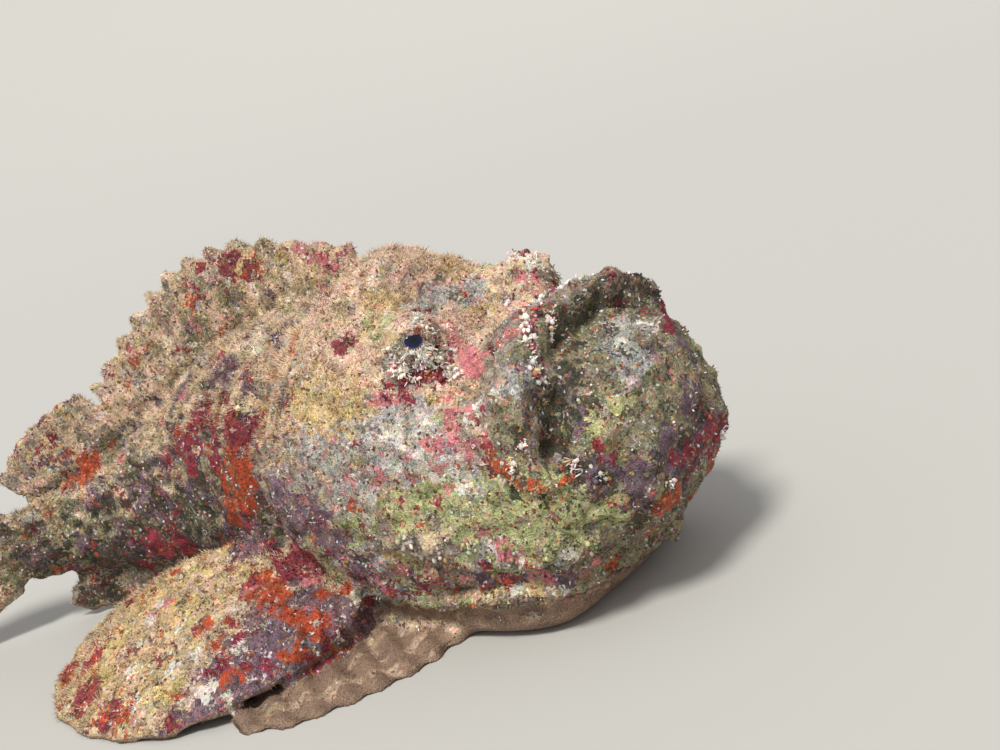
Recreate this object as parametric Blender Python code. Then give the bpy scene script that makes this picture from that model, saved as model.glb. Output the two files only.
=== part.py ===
"""Reef stonefish at life size, at rest on its belly with the tail swung to its right.

Metres, +Z up, the floor at Z = 0. The head points to -Y and the fish's left is +X.
Proportions are in hundredths of the standard length, as fish books give them, and one driving
length turns them into metres. A point is written (across, back, up): across from the midline,
back from the tip of the chin, up from the floor. The whole body is one lofted skin, parted by
thin cuts; the fins are thick fans and strips that end at the skin.
"""

import math

import bmesh
import bpy
from mathutils import Matrix, Vector
from mathutils.bvhtree import BVHTree

STANDARD_LENGTH = 0.287  # tip of the chin to the root of the tail fin
EYE_RADIUS = 0.0060
CUT_GAP = 0.0005  # width of the thin cuts between the parts of the body
EYE_GAP = 0.0004  # play round an eye in its socket
FIN_GAP = 0.0007  # play under the root of a fin
HUNDREDTH = STANDARD_LENGTH / 100

RING_POINTS = 40  # points round each hoop of the body
RING_STEP = 2.55  # distance between hoops, in hundredths
FINE_STEPS = 40  # steps from one named hoop to the next when that distance is measured
SHARP_ANGLE = 50  # degrees past which an edge is shaded as a crease
BEND_START = 45.0  # where the body starts to swing to the right
BEND_RADIUS = 68.0

# Colour and roughness of each material, all of them without metal
MATERIALS = {
    "head_skin": ((0.40, 0.31, 0.19), 0.85),
    "jaw_skin": ((0.34, 0.24, 0.18), 0.85),
    "throat_skin": ((0.38, 0.25, 0.19), 0.75),
    "back_skin": ((0.42, 0.27, 0.17), 0.90),
    "fin_skin": ((0.47, 0.32, 0.20), 0.85),
    "eye": ((0.05, 0.03, 0.08), 0.10),
}
# The material of each part, by the first of these words that its name holds
MATERIAL_OF = {
    "eye": "eye",
    "fin": "fin_skin",
    "jaw": "jaw_skin",
    "throat": "throat_skin",
    "gill_cover": "head_skin",
    "head": "head_skin",
    "trunk": "back_skin",
    "tail_stalk": "back_skin",
}

# Each hoop of the body: how far back its top, sides and underside lie, its half width, the
# heights of its top, widest place and underside, and how square its upper and lower halves are
# (2 is an ellipse). The front hoops lean back at the top, as the steep mouth does.
HOOPS = (
    # top    side   under  half   top    wide   under  squareness
    (0.3, 0.3, 0.8, 5.4, 18.5, 14.3, 9.9, 2.0, 2.0),
    (1.3, 1.3, 3.9, 9.4, 23.8, 15.6, 7.2, 2.1, 2.0),
    (3.3, 3.6, 8.2, 12.5, 27.9, 17.0, 4.5, 2.4, 2.0),  # rim of the lower lip
    (6.2, 5.9, 11.2, 13.9, 29.8, 17.8, 2.3, 2.5, 2.2),  # mouth
    (9.6, 8.0, 13.4, 15.6, 32.2, 18.1, 0.5, 3.1, 3.0),  # rim of the upper lip
    (13.2, 11.0, 15.4, 16.4, 32.0, 18.5, -0.2, 2.6, 3.6),
    (16.8, 14.8, 18.2, 17.8, 30.8, 18.8, -0.5, 2.5, 3.6),
    (21.0, 19.6, 21.4, 18.9, 30.3, 19.2, -0.6, 2.5, 3.4),  # eyes
    (25.0, 24.4, 24.8, 19.7, 32.6, 19.5, -0.6, 2.5, 3.2),
    (29.2, 29.2, 28.8, 20.2, 36.6, 19.5, -0.6, 2.4, 3.0),
    (33.4, 34.0, 33.4, 20.5, 39.0, 19.5, -0.6, 2.3, 2.8),  # nape
    (38.3, 39.0, 39.0, 20.1, 37.6, 19.2, -0.6, 2.2, 2.7),
    (43.2, 43.9, 43.9, 19.0, 36.6, 18.8, -0.6, 2.2, 2.6),  # gill opening
    (50.5, 50.5, 50.5, 17.3, 35.6, 18.5, -0.6, 2.2, 2.6),
    (59.0, 59.0, 59.0, 14.8, 33.6, 17.6, -0.2, 2.2, 2.4),
    (68.0, 68.0, 68.0, 11.6, 30.0, 16.2, 1.0, 2.1, 2.3),
    (76.5, 76.5, 76.5, 8.6, 25.6, 14.8, 2.8, 2.1, 2.2),
    (85.0, 85.0, 85.0, 6.0, 21.4, 13.4, 4.8, 2.0, 2.1),
    (93.0, 93.0, 93.0, 4.2, 18.6, 12.4, 6.0, 2.0, 2.0),
    (100.0, 100.0, 100.0, 3.0, 17.6, 12.0, 6.4, 2.0, 2.0),
)
CHIN_TIP = (0.0, 0.0, 13.8)
TAIL_END = (0.0, 100.8, 12.0)

# Humps (+) and hollows (-) of the head and shoulders: name, place, height, spread.
# One with a distance across is made on both sides.
RELIEF = (
    ("eye knob", (9.8, 23.4, 32.4), 6.8, 3.5),
    ("hollow between the eyes", (0.0, 22.0, 30.5), -2.4, 5.0),
    ("pit before the eye", (11.8, 16.0, 28.5), -2.6, 2.7),
    ("pit under the eye", (16.8, 22.6, 26.0), -1.6, 2.8),
    ("pit behind the eye", (11.5, 29.0, 34.0), -2.2, 3.0),
    ("saddle behind the brow", (0.0, 27.5, 35.0), -1.8, 3.6),
    ("hump of the nape", (0.0, 33.0, 38.5), 1.8, 5.0),
    ("cheek", (19.5, 26.5, 17.5), 1.3, 6.0),
    ("lobe of the upper jaw", (15.2, 9.0, 18.5), 1.9, 3.4),
    ("snout", (6.0, 14.0, 31.5), 0.8, 3.4),
    ("corner of the upper lip", (12.6, 7.6, 28.6), 1.5, 3.4),
    ("dome of the chin", (0.0, 1.5, 20.5), 1.6, 5.0),
    ("point of the chin", (7.0, 1.2, 14.5), 0.8, 4.0),
    ("gill cover", (20.0, 37.0, 20.0), 1.4, 5.5),
    ("shoulder", (18.5, 50.0, 21.0), 1.2, 5.0),
)

# The mouth is a groove behind the lower lip, over the top of the snout from corner to corner.
MOUTH_DEPTH, MOUTH_WIDTH = 3.0, 2.2
MOUTH_CORNER_UP, MOUTH_CORNER_FADE = 17.0, 2.5  # where it starts, and how fast it reaches its depth
# The gill opening is a groove down the side of the body.
GILL_LINE = ((42.0, 30.0), (46.5, 24.0), (47.5, 18.0), (45.0, 11.0), (39.0, 4.0))
GILL_DEPTH, GILL_WIDTH = 1.9, 1.9
GILL_FROM_ACROSS = 6.0  # it ends this far from the midline
# A fold of skin stands out along the lower edge of the jaw and the throat.
FOLD_LINE = ((7.5, 4.6), (11.0, 2.4), (18.0, 1.8), (28.0, 1.8), (37.0, 2.4))
FOLD_HEIGHT, FOLD_WIDTH = 1.5, 2.2

# Cuts, as lines of (back, up) seen from the side and carried right across the body
JAW_CUT = ((9.5, 45.0), (6.6, 30.5), (6.0, 21.5), (6.3, 16.8), (15.0, 14.0), (17.2, -4.0))
SNOUT_CUT = ((14.75, 13.6), (13.4, 19.0), (14.0, 28.0), (17.5, 45.0))
THROAT_CUT = ((15.9, 4.2), (30.0, 4.0), (40.5, 4.4))
NECK_CUT = (
    (37.5, 50.0),
    (41.5, 31.0),
    (46.5, 24.0),
    (47.5, 18.0),
    (45.0, 11.0),
    (39.0, 3.4),
    (37.0, -4.0),
)
TAIL_CUT = ((81.0, 40.0), (81.0, -4.0))
OUTSIDE_ACROSS = 30.0  # further from the midline than any of the body
# The gill covers: their outline seen from the side, and how deep they reach into the head
COVER_OUTLINE = (
    (31.5, 27.0),
    (29.5, 19.0),
    (30.5, 11.0),
    (35.0, 7.0),
    (60.0, 7.0),
    (60.0, 31.0),
    (35.5, 31.0),
)
COVER_MIDDLE = (40.3, 17.9)
COVER_INNER_ACROSS = 15.5
COVER_WALL = 1.4  # its cut is wider than the others by this, as it meets the skin aslant

# Where the middle of each part of the body lies, to tell them apart after the cuts
BODY_PARTS = {
    "lower_jaw": (0.0, 5.5, 12.0),
    "upper_jaw": (0.0, 10.0, 24.0),
    "head": (0.0, 28.0, 21.0),
    "throat": (0.0, 28.0, 1.6),
    "trunk": (0.0, 60.0, 16.0),
    "tail_stalk": (0.0, 90.0, 12.0),
}
HEAD_PARTS = {
    "head": (0.0, 28.0, 21.0),
    "gill_cover_left": (18.5, 38.0, 19.0),
    "gill_cover_right": (-18.5, 38.0, 19.0),
}


def clear_scene():
    for obj in list(bpy.data.objects):
        bpy.data.objects.remove(obj)


def metres(point):
    """A point in hundredths as a vector in metres."""
    return Vector(point) * HUNDREDTH


def smooth_row(rows, place):
    """The row of numbers at a fractional place among rows, on a Catmull-Rom curve through them."""
    i = min(max(int(place), 0), len(rows) - 2)
    t = place - i
    before, after = rows[max(i - 1, 0)], rows[min(i + 2, len(rows) - 1)]
    blended = []
    for a, b, c, d in zip(before, rows[i], rows[i + 1], after):
        curve = 2 * b + (c - a) * t + (2 * a - 5 * b + 4 * c - d) * t**2 + (3 * b - a - 3 * c + d) * t**3
        blended.append(curve / 2)
    return blended


def smooth_point(points, share):
    """The point a share (0 to 1) of the way along a smooth curve through points."""
    return Vector(smooth_row(points, share * (len(points) - 1)))


def rounded(value, square):
    return math.copysign(abs(value) ** (2 / square), value)


def hoop_point(hoop, turn):
    """A point of a hoop, in hundredths. Turn 0 is the left side, a quarter of a circle the top."""
    top_back, side_back, under_back, half, top, wide, under, square_top, square_under = hoop
    c, s = math.cos(turn), math.sin(turn)
    square = square_top if s >= 0 else square_under
    across = half * rounded(c, square)
    rise = rounded(s, square)
    lean = s * s
    if s >= 0:
        return Vector((across, side_back + (top_back - side_back) * lean, wide + (top - wide) * rise))
    return Vector((across, side_back + (under_back - side_back) * lean, wide + (wide - under) * rise))


def hoop_places():
    """Fractional places in HOOPS at about RING_STEP along the side of the body."""
    places, done = [0.0], 0.0
    for k in range(1, (len(HOOPS) - 1) * FINE_STEPS + 1):
        place = k / FINE_STEPS
        a, b = smooth_row(HOOPS, place - 1 / FINE_STEPS), smooth_row(HOOPS, place)
        moved = max(math.dist((a[i], a[j]), (b[i], b[j])) for i, j in ((0, 4), (1, 3), (2, 6)))
        done += moved
        if done >= RING_STEP:
            places.append(place)
            done = 0.0
    return places


def line_distance(line, back, up):
    """How far a point seen from the side is from a line of (back, up) points."""
    nearest = 1e9
    for (y0, z0), (y1, z1) in zip(line, line[1:]):
        dy, dz = y1 - y0, z1 - z0
        t = ((back - y0) * dy + (up - z0) * dz) / (dy * dy + dz * dz)
        t = min(max(t, 0.0), 1.0)
        nearest = min(nearest, math.hypot(back - y0 - t * dy, up - z0 - t * dz))
    return nearest


def relief_at(point, mouth):
    """How far the skin stands out at a point of the plain loft, given its distance from the mouth."""
    out = 0.0
    for _, place, height, spread in RELIEF:
        sides = (1, -1) if place[0] else (1,)
        for side in sides:
            far = (point - Vector((place[0] * side, place[1], place[2]))).length
            out += height * math.exp(-((far / spread) ** 2))
    above_corner = min(max((point.z - MOUTH_CORNER_UP) / MOUTH_CORNER_FADE, 0.0), 1.0)
    out -= MOUTH_DEPTH * above_corner * math.exp(-((mouth / MOUTH_WIDTH) ** 2))
    gill = line_distance(GILL_LINE, point.y, point.z)
    if abs(point.x) > GILL_FROM_ACROSS:
        out -= GILL_DEPTH * math.exp(-((gill / GILL_WIDTH) ** 2))
    fold = line_distance(FOLD_LINE, point.y, point.z)
    return out + FOLD_HEIGHT * math.exp(-((fold / FOLD_WIDTH) ** 2))


def body_mesh():
    """The whole body as one closed mesh, in metres, before it is parted and bent."""
    places = hoop_places()
    turns = [2 * math.pi * (k + 0.5) / RING_POINTS for k in range(RING_POINTS)]
    plain = [[hoop_point(smooth_row(HOOPS, place), turn) for turn in turns] for place in places]
    mouth_hoop = [hoop_point(HOOPS[3], turn) for turn in turns]
    bm = bmesh.new()
    rings = []
    for i, ring in enumerate(plain):
        before, after = plain[max(i - 1, 0)], plain[min(i + 1, len(plain) - 1)]
        verts = []
        for k, point in enumerate(ring):
            along = after[k] - before[k]
            round_about = ring[(k + 1) % RING_POINTS] - ring[k - 1]
            normal = along.cross(round_about).normalized()
            moved = point + normal * relief_at(point, (point - mouth_hoop[k]).length)
            moved.z = max(moved.z, 0.0)
            verts.append(bm.verts.new(moved * HUNDREDTH))
        rings.append(verts)
    for a, b in zip(rings, rings[1:]):
        for k in range(RING_POINTS):
            m = (k + 1) % RING_POINTS
            bm.faces.new((a[k], a[m], b[m], b[k]))
    chin, tail = bm.verts.new(metres(CHIN_TIP)), bm.verts.new(metres(TAIL_END))
    for k in range(RING_POINTS):
        m = (k + 1) % RING_POINTS
        bm.faces.new((chin, rings[0][m], rings[0][k]))
        bm.faces.new((tail, rings[-1][k], rings[-1][m]))
    bmesh.ops.triangulate(bm, faces=bm.faces)
    bmesh.ops.recalc_face_normals(bm, faces=bm.faces)
    return bm


def object_of(name, bm):
    mesh = bpy.data.meshes.new(name)
    bm.to_mesh(mesh)
    bm.free()
    obj = bpy.data.objects.new(name, mesh)
    bpy.context.scene.collection.objects.link(obj)
    return obj


def make_material(name):
    colour, roughness = MATERIALS[name]
    material = bpy.data.materials.new(name)
    material.use_nodes = True
    shader = material.node_tree.nodes["Principled BSDF"]
    shader.inputs["Base Color"].default_value = (*colour, 1.0)
    shader.inputs["Roughness"].default_value = roughness
    shader.inputs["Metallic"].default_value = 0.0
    return material


def sheet_cutter(name, line):
    """A thin sheet that follows a line of (back, up) points and runs right across the body."""
    bm = bmesh.new()
    half_gap = CUT_GAP / 2
    flat = [Vector((back, up)) * HUNDREDTH for back, up in line]
    edges = []
    for i, point in enumerate(flat):
        before, after = flat[max(i - 1, 0)], flat[min(i + 1, len(flat) - 1)]
        along = (after - before).normalized()
        square_on = Vector((-along.y, along.x)) * half_gap
        edges.append((point + square_on, point - square_on))
    outline = [a for a, _ in edges] + [b for _, b in reversed(edges)]
    reach = OUTSIDE_ACROSS * HUNDREDTH
    ends = [[bm.verts.new((side * reach, p.x, p.y)) for p in outline] for side in (-1, 1)]
    count = len(line)
    for a, b in zip(range(len(outline)), range(1, len(outline) + 1)):
        b %= len(outline)
        bm.faces.new((ends[0][a], ends[0][b], ends[1][b], ends[1][a]))
    for end in ends:
        for i in range(count - 1):
            j = len(outline) - 1 - i
            bm.faces.new((end[i], end[i + 1], end[j - 1], end[j]))
    bmesh.ops.recalc_face_normals(bm, faces=bm.faces)
    return object_of(name, bm)


def cover_cutter(name, side):
    """A thin-walled tray, open to the outside, that parts a gill cover from the head."""
    bm = bmesh.new()
    wall = CUT_GAP / HUNDREDTH * COVER_WALL

    def shell_ring(across, shrink):
        verts = []
        for back, up in COVER_OUTLINE:
            inward = (Vector(COVER_MIDDLE) - Vector((back, up))).normalized() * shrink
            verts.append(bm.verts.new(metres((across * side, back + inward.x, up + inward.y))))
        return verts

    rings = [
        shell_ring(OUTSIDE_ACROSS, 0.0),
        shell_ring(COVER_INNER_ACROSS, 0.0),
        shell_ring(COVER_INNER_ACROSS + wall, wall),
        shell_ring(OUTSIDE_ACROSS, wall),
    ]
    count = len(COVER_OUTLINE)
    for a, b in ((0, 1), (2, 3), (3, 0)):
        for k in range(count):
            m = (k + 1) % count
            bm.faces.new((rings[a][k], rings[a][m], rings[b][m], rings[b][k]))
    bm.faces.new(rings[1])
    bm.faces.new(rings[2])
    bmesh.ops.recalc_face_normals(bm, faces=bm.faces)
    return object_of(name, bm)


def cut(obj, cutter):
    """Cuts cutter out of obj for good."""
    modifier = obj.modifiers.new("Boolean", "BOOLEAN")
    modifier.operation = "DIFFERENCE"
    modifier.solver = "EXACT"
    modifier.object = cutter
    graph = bpy.context.evaluated_depsgraph_get()
    mesh = bpy.data.meshes.new_from_object(obj.evaluated_get(graph))
    obj.modifiers.remove(modifier)
    obj.data = mesh


def remove(*objects):
    for obj in objects:
        bpy.data.objects.remove(obj)


def islands(bm):
    """The separate pieces of a mesh, as lists of faces."""
    left, found = set(bm.faces), []
    while left:
        seed = left.pop()
        group, edge = [seed], [seed]
        while edge:
            for link in edge.pop().edges:
                for face in link.link_faces:
                    if face in left:
                        left.remove(face)
                        group.append(face)
                        edge.append(face)
        found.append(group)
    return found


def part_by_place(whole, places):
    """Splits a cut solid into its named parts, by where the middle of each piece lies."""
    bm = bmesh.new()
    bm.from_mesh(whole.data)
    pieces = []
    for group in islands(bm):
        verts = {v for face in group for v in face.verts}
        low = Vector(min(v.co[i] for v in verts) for i in range(3))
        high = Vector(max(v.co[i] for v in verts) for i in range(3))
        pieces.append((len(group), (low + high) / 2, group))
    pieces.sort(key=lambda piece: -piece[0])
    remove(whole)
    parts, free = {}, dict(places)
    for _, middle, group in pieces[: len(places)]:
        name = min(free, key=lambda n: (metres(free[n]) - middle).length)
        del free[name]
        piece = bmesh.new()
        made = {v: piece.verts.new(v.co) for v in {v for face in group for v in face.verts}}
        for face in group:
            piece.faces.new([made[v] for v in face.verts])
        parts[name] = object_of(name, piece)
    bm.free()
    return parts


def sphere(name, centre, radius, rings=8):
    bm = bmesh.new()
    bmesh.ops.create_uvsphere(bm, u_segments=2 * rings, v_segments=rings, radius=radius)
    bmesh.ops.translate(bm, verts=bm.verts, vec=centre)
    return object_of(name, bm)


# Each eye looks out to the side, up and a little forward from its knob.
EYE_KNOB = (9.6, 22.8, 30.0)
EYE_LOOK = Vector((0.80, -0.22, 0.56)).normalized()
EYE_SUNK = 0.45  # share of its radius that an eye's middle lies under the skin


def eye_centre(skin, side):
    """Where an eye lies: under the skin of its knob, in the direction that it looks."""
    look = Vector((EYE_LOOK.x * side, EYE_LOOK.y, EYE_LOOK.z))
    knob = EYE_KNOB
    hit = skin.ray_cast(metres((knob[0] * side, knob[1], knob[2])), look)[0]
    return hit - look * EYE_RADIUS * EYE_SUNK


def fan(name, place, half_thickness, columns, rows):
    """A thick sheet on a grid: place(across_share, out_share) is its middle, in hundredths."""
    bm = bmesh.new()
    step = 1e-3
    sides = ([], [])
    for c in range(columns + 1):
        v = c / columns
        lines = ([], [])
        for r in range(rows + 1):
            t = r / rows
            middle = place(v, t)
            along = place(min(v + step, 1), t) - place(max(v - step, 0), t)
            outward = place(v, min(t + step, 1)) - place(v, max(t - step, 0))
            normal = along.cross(outward).normalized()
            for line, sign in zip(lines, (1, -1)):
                point = middle + normal * half_thickness(v, t) * sign
                point.z = max(point.z, 0.0)
                line.append(bm.verts.new(point * HUNDREDTH))
        for side, line in zip(sides, lines):
            side.append(line)
    for side in sides:
        for c in range(columns):
            for r in range(rows):
                bm.faces.new((side[c][r], side[c + 1][r], side[c + 1][r + 1], side[c][r + 1]))
    upper, lower = sides
    for c in range(columns):
        for r in (0, rows):
            bm.faces.new((upper[c][r], upper[c + 1][r], lower[c + 1][r], lower[c][r]))
    for r in range(rows):
        for c in (0, columns):
            bm.faces.new((upper[c][r], upper[c][r + 1], lower[c][r + 1], lower[c][r]))
    bmesh.ops.recalc_face_normals(bm, faces=bm.faces)
    return object_of(name, bm)


def ray_curve(root, tip, rise, share):
    """A point on a fin ray that arches from root to tip."""
    arch = (root + tip) / 2 + Vector(rise)
    return root * (1 - share) ** 2 + arch * 2 * share * (1 - share) + tip * share**2


# The pectoral fins spread like skirts from behind the gill opening to the floor.
PECTORAL_RAYS = 18
PECTORAL_SCALLOP = 0.025  # how far the edge dips between two rays, as a share of their length
PECTORAL_ROOT = ((15.8, 48.0, 11.4), (16.5, 46.0, 8.6), (15.5, 41.0, 5.4), (12.5, 35.0, 3.8))
PECTORAL_EDGE = (
    (21.5, 70.0, 5.6),
    (28.5, 74.5, 2.8),
    (36.5, 70.0, 0.7),
    (40.5, 58.5, 0.3),
    (39.5, 47.5, 0.6),
    (35.0, 40.5, 1.8),
    (28.0, 36.5, 2.4),
    (20.5, 34.5, 3.0),
)
PECTORAL_RISE = (2.0, -1.0, 4.6)


def pectoral_place(side):
    def place(v, t):
        reach = 1 - PECTORAL_SCALLOP * (1 - abs(math.cos(math.pi * PECTORAL_RAYS * v)))
        root, tip = smooth_point(PECTORAL_ROOT, v), smooth_point(PECTORAL_EDGE, v)
        point = ray_curve(root, tip, PECTORAL_RISE, t * reach)
        return Vector((point.x * side, point.y, point.z))

    return place


def tapered(root, tip):
    """A fin's half thickness, thinning evenly from root to tip, whatever the ray."""
    return lambda v, t: root + (tip - root) * t


# The pelvic fins lie flat on the floor, and show under the front of the pectoral fins.
PELVIC_ROOT = ((10.5, 35.5, 0.8), (8.5, 22.5, 0.8))
PELVIC_EDGE = (
    (18.5, 43.5, 0.3),
    (28.5, 44.0, 0.3),
    (36.0, 39.5, 0.3),
    (33.0, 31.0, 0.3),
    (22.0, 24.5, 0.3),
)


def pelvic_place(side):
    def place(v, t):
        root, edge = smooth_point(PELVIC_ROOT, v), smooth_point(PELVIC_EDGE, v)
        point = root.lerp(edge, t)
        return Vector((point.x * side, point.y, point.z))

    return place


# Thirteen short stout spines in skin so thick and overgrown that the edge only waves from one to
# the next. The row starts on the nape, and runs on into the soft dorsal fin.
SPINES = 13
FIN_SINK = 1.8  # how deep a fin of the midline is rooted in the body
SPINE_FIRST, SPINE_LAST = 36.5, 78.2  # how far back the first and last one rise
SPINE_SHORTEST, SPINE_LONGEST = 3.2, 10.0  # the first one, and those above the middle of the trunk
SPINES_GROW, SPINES_SHRINK = 0.50, 0.60  # shares of the row where the growth ends and the fall starts
LAST_SPINE = 0.60  # length of the last spine, as a share of the longest
WEB_DIP = 0.17  # how far the edge dips between two spines, as a share of their length
SPINE_LEAN, LAST_SPINE_LEAN = 0.55, 0.80  # how far back a spine leans for each unit that it rises
SPINE_THICK, WEB_THICK, SPINE_TAPER = 1.6, 1.1, 0.40  # half thicknesses, and the share lost at the tip
# The lines of the back and the belly, as (back, up), read from the hoops
BACK_TOP = tuple((hoop[0], hoop[4]) for hoop in HOOPS)
BELLY_UNDER = tuple((hoop[2], hoop[6]) for hoop in HOOPS)


def height_on(line, back):
    """The height of a line of (back, up) points at a distance back."""
    for (y0, z0), (y1, z1) in zip(line, line[1:]):
        if y0 <= back <= y1:
            return z0 + (z1 - z0) * (back - y0) / (y1 - y0)
    return line[0][1] if back < line[0][0] else line[-1][1]


def spine_peak(v):
    """1 at each spine and 0 half way between two."""
    return 0.5 + 0.5 * math.cos(2 * math.pi * v * (SPINES - 1))


def spiny_place(v, t):
    back = SPINE_FIRST + (SPINE_LAST - SPINE_FIRST) * v
    growth = math.sin(min(v / SPINES_GROW, 1.0) * math.pi / 2)
    fall = max(v - SPINES_SHRINK, 0.0) / (1 - SPINES_SHRINK) * (1 - LAST_SPINE)
    long = (SPINE_SHORTEST + (SPINE_LONGEST - SPINE_SHORTEST) * growth) * (1 - fall)
    rise = long * (1 - WEB_DIP * (1 - spine_peak(v))) * t
    root = height_on(BACK_TOP, back) - FIN_SINK
    lean = SPINE_LEAN + (LAST_SPINE_LEAN - SPINE_LEAN) * v
    return Vector((0.0, back + lean * rise, root + rise + FIN_SINK * t))


def spiny_thickness(v, t):
    return (WEB_THICK + (SPINE_THICK - WEB_THICK) * spine_peak(v)) * (1 - SPINE_TAPER * t)


# The soft dorsal and the anal fin: a strip each, highest a third of the way back
STRIP_LOW = 0.3  # height of a strip's ends, as a share of its full height
STRIP_FROM, STRIP_OVER = 0.3, 0.6  # the part of a half wave that its edge follows
LOWEST_UP = 0.5  # no fin of the midline comes nearer to the floor than this


def strip_place(root_line, back_span, length, lean, up):
    """The middle of a soft fin that stands up (+1) or hangs down (-1) along the midline."""

    def place(v, t):
        back = back_span[0] + (back_span[1] - back_span[0]) * v
        wave = math.sin(math.pi * (STRIP_FROM + STRIP_OVER * v))
        long = length * (STRIP_LOW + (1 - STRIP_LOW) * wave)
        root = height_on(root_line, back) - FIN_SINK * up
        rise = (long + FIN_SINK) * t
        return Vector((0.0, back + lean * rise, max(root + rise * up, LOWEST_UP)))

    return place


# The tail fin is a rounded fan.
TAIL_FIN_LENGTH = 21.5
TAIL_FIN_SPREAD = 0.62  # half its opening, in radians
TAIL_FIN_ROUNDING = 0.16  # how much shorter its outer rays are
TAIL_FIN_ROOT = ((0.0, 98.2, 16.6), (0.0, 98.8, 12.0), (0.0, 98.2, 7.4))


def tail_fin_place(v, t):
    turn = TAIL_FIN_SPREAD * (1 - 2 * v)
    root = smooth_point(TAIL_FIN_ROOT, v)
    long = TAIL_FIN_LENGTH * (1 - TAIL_FIN_ROUNDING * (1 - 2 * v) ** 2)
    tip = root + Vector((0.0, math.cos(turn), math.sin(turn))) * long
    tip.z = max(tip.z, LOWEST_UP)
    return root.lerp(tip, t)


def bend(obj):
    """Swings everything behind BEND_START to the right, along an arc."""
    start, radius = BEND_START * HUNDREDTH, BEND_RADIUS * HUNDREDTH
    for vert in obj.data.vertices:
        x, y, z = vert.co
        if y > start:
            turn = (y - start) / radius
            vert.co = (-radius + (radius + x) * math.cos(turn), start + (radius + x) * math.sin(turn), z)


def grown(mesh_object, name, by):
    """A copy of an object whose skin stands out by a distance."""
    bm = bmesh.new()
    bm.from_mesh(mesh_object.data)
    bm.normal_update()
    moved = [vert.co + vert.normal * by for vert in bm.verts]
    for vert, place in zip(bm.verts, moved):
        vert.co = place
    return object_of(name, bm)


def make_body():
    """The parts of the body and the head, and the grown skin that the fins are seated on."""
    whole = object_of("body", body_mesh())
    seat = grown(whole, "seat", FIN_GAP)
    bm = bmesh.new()
    bm.from_mesh(whole.data)
    skin = BVHTree.FromBMesh(bm)
    centres = {"eye_left": eye_centre(skin, 1), "eye_right": eye_centre(skin, -1)}
    bm.free()
    cutters = [
        sheet_cutter("jaw_cut", JAW_CUT),
        sheet_cutter("snout_cut", SNOUT_CUT),
        sheet_cutter("throat_cut", THROAT_CUT),
        sheet_cutter("neck_cut", NECK_CUT),
        sheet_cutter("tail_cut", TAIL_CUT),
    ]
    cutters += [sphere(name + "_socket", centre, EYE_RADIUS + EYE_GAP) for name, centre in centres.items()]
    for cutter in cutters:
        cut(whole, cutter)
    remove(*cutters)
    parts = part_by_place(whole, BODY_PARTS)
    trays = [cover_cutter("cover_cut_left", 1), cover_cutter("cover_cut_right", -1)]
    for tray in trays:
        cut(parts["head"], tray)
    remove(*trays)
    parts.update(part_by_place(parts["head"], HEAD_PARTS))
    return parts, seat, centres


def make_paired_fins():
    fins = []
    for name, side in (("left", 1), ("right", -1)):
        fins.append(fan("pectoral_fin_" + name, pectoral_place(side), tapered(1.15, 0.40), PECTORAL_RAYS, 6))
        fins.append(fan("pelvic_fin_" + name, pelvic_place(side), tapered(0.75, 0.40), 7, 4))
    return fins


def make_midline_fins():
    soft_dorsal = strip_place(BACK_TOP, (78.7, 95.0), 6.6, LAST_SPINE_LEAN, 1)
    anal = strip_place(BELLY_UNDER, (71.0, 92.5), 6.5, 0.75, -1)
    return [
        fan("dorsal_fin_spiny", spiny_place, spiny_thickness, 4 * (SPINES - 1), 3),
        fan("dorsal_fin_soft", soft_dorsal, tapered(0.95, 0.45), 9, 4),
        fan("anal_fin", anal, tapered(0.85, 0.43), 9, 4),
        fan("tail_fin", tail_fin_place, tapered(1.0, 0.4), 12, 5),
    ]


def centre_on_floor(objects):
    """Puts the origin at the middle of the model's box, on the floor, with the fish's head to -Y."""
    points = [vert.co for obj in objects for vert in obj.data.vertices]
    low = Vector(min(p[i] for p in points) for i in range(3))
    high = Vector(max(p[i] for p in points) for i in range(3))
    shift = Matrix.Translation((-(low.x + high.x) / 2, -(low.y + high.y) / 2, -low.z))
    for obj in objects:
        obj.data.transform(shift)


def main():
    clear_scene()
    parts, seat, centres = make_body()
    midline_fins = make_midline_fins()
    paired_fins = make_paired_fins()
    for fin in midline_fins:
        cut(fin, seat)
    for obj in [*parts.values(), *midline_fins, seat]:
        bend(obj)
    for fin in paired_fins:
        cut(fin, seat)
    remove(seat)
    eyes = [sphere(name, centre, EYE_RADIUS) for name, centre in centres.items()]
    everything = [*parts.values(), *midline_fins, *paired_fins, *eyes]
    centre_on_floor(everything)
    materials = {name: make_material(name) for name in MATERIALS}
    for obj in everything:
        word = next(word for word in MATERIAL_OF if word in obj.name)
        obj.data.materials.clear()
        obj.data.materials.append(materials[MATERIAL_OF[word]])
        obj.data.shade_smooth()
        obj.data.set_sharp_from_angle(angle=math.radians(SHARP_ANGLE))


main()
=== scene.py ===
# %% [markdown]
# # A reef stonefish, life size
#
# This lesson dresses the plain solids of a stonefish. A stonefish looks like a lump of reef: its
# skin is loose, warty and overgrown with algae, and it has no scales. One skin is grown over the
# solids, it gets its folds, warts and colours, and then a coat of algae, crumbs and skin tassels
# is laid on it, all of it real mesh.

# %% Load the solids
import math

import bpy
import numpy as np
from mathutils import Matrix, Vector, noise
from mathutils.bvhtree import BVHTree
from mathutils.kdtree import KDTree


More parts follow.
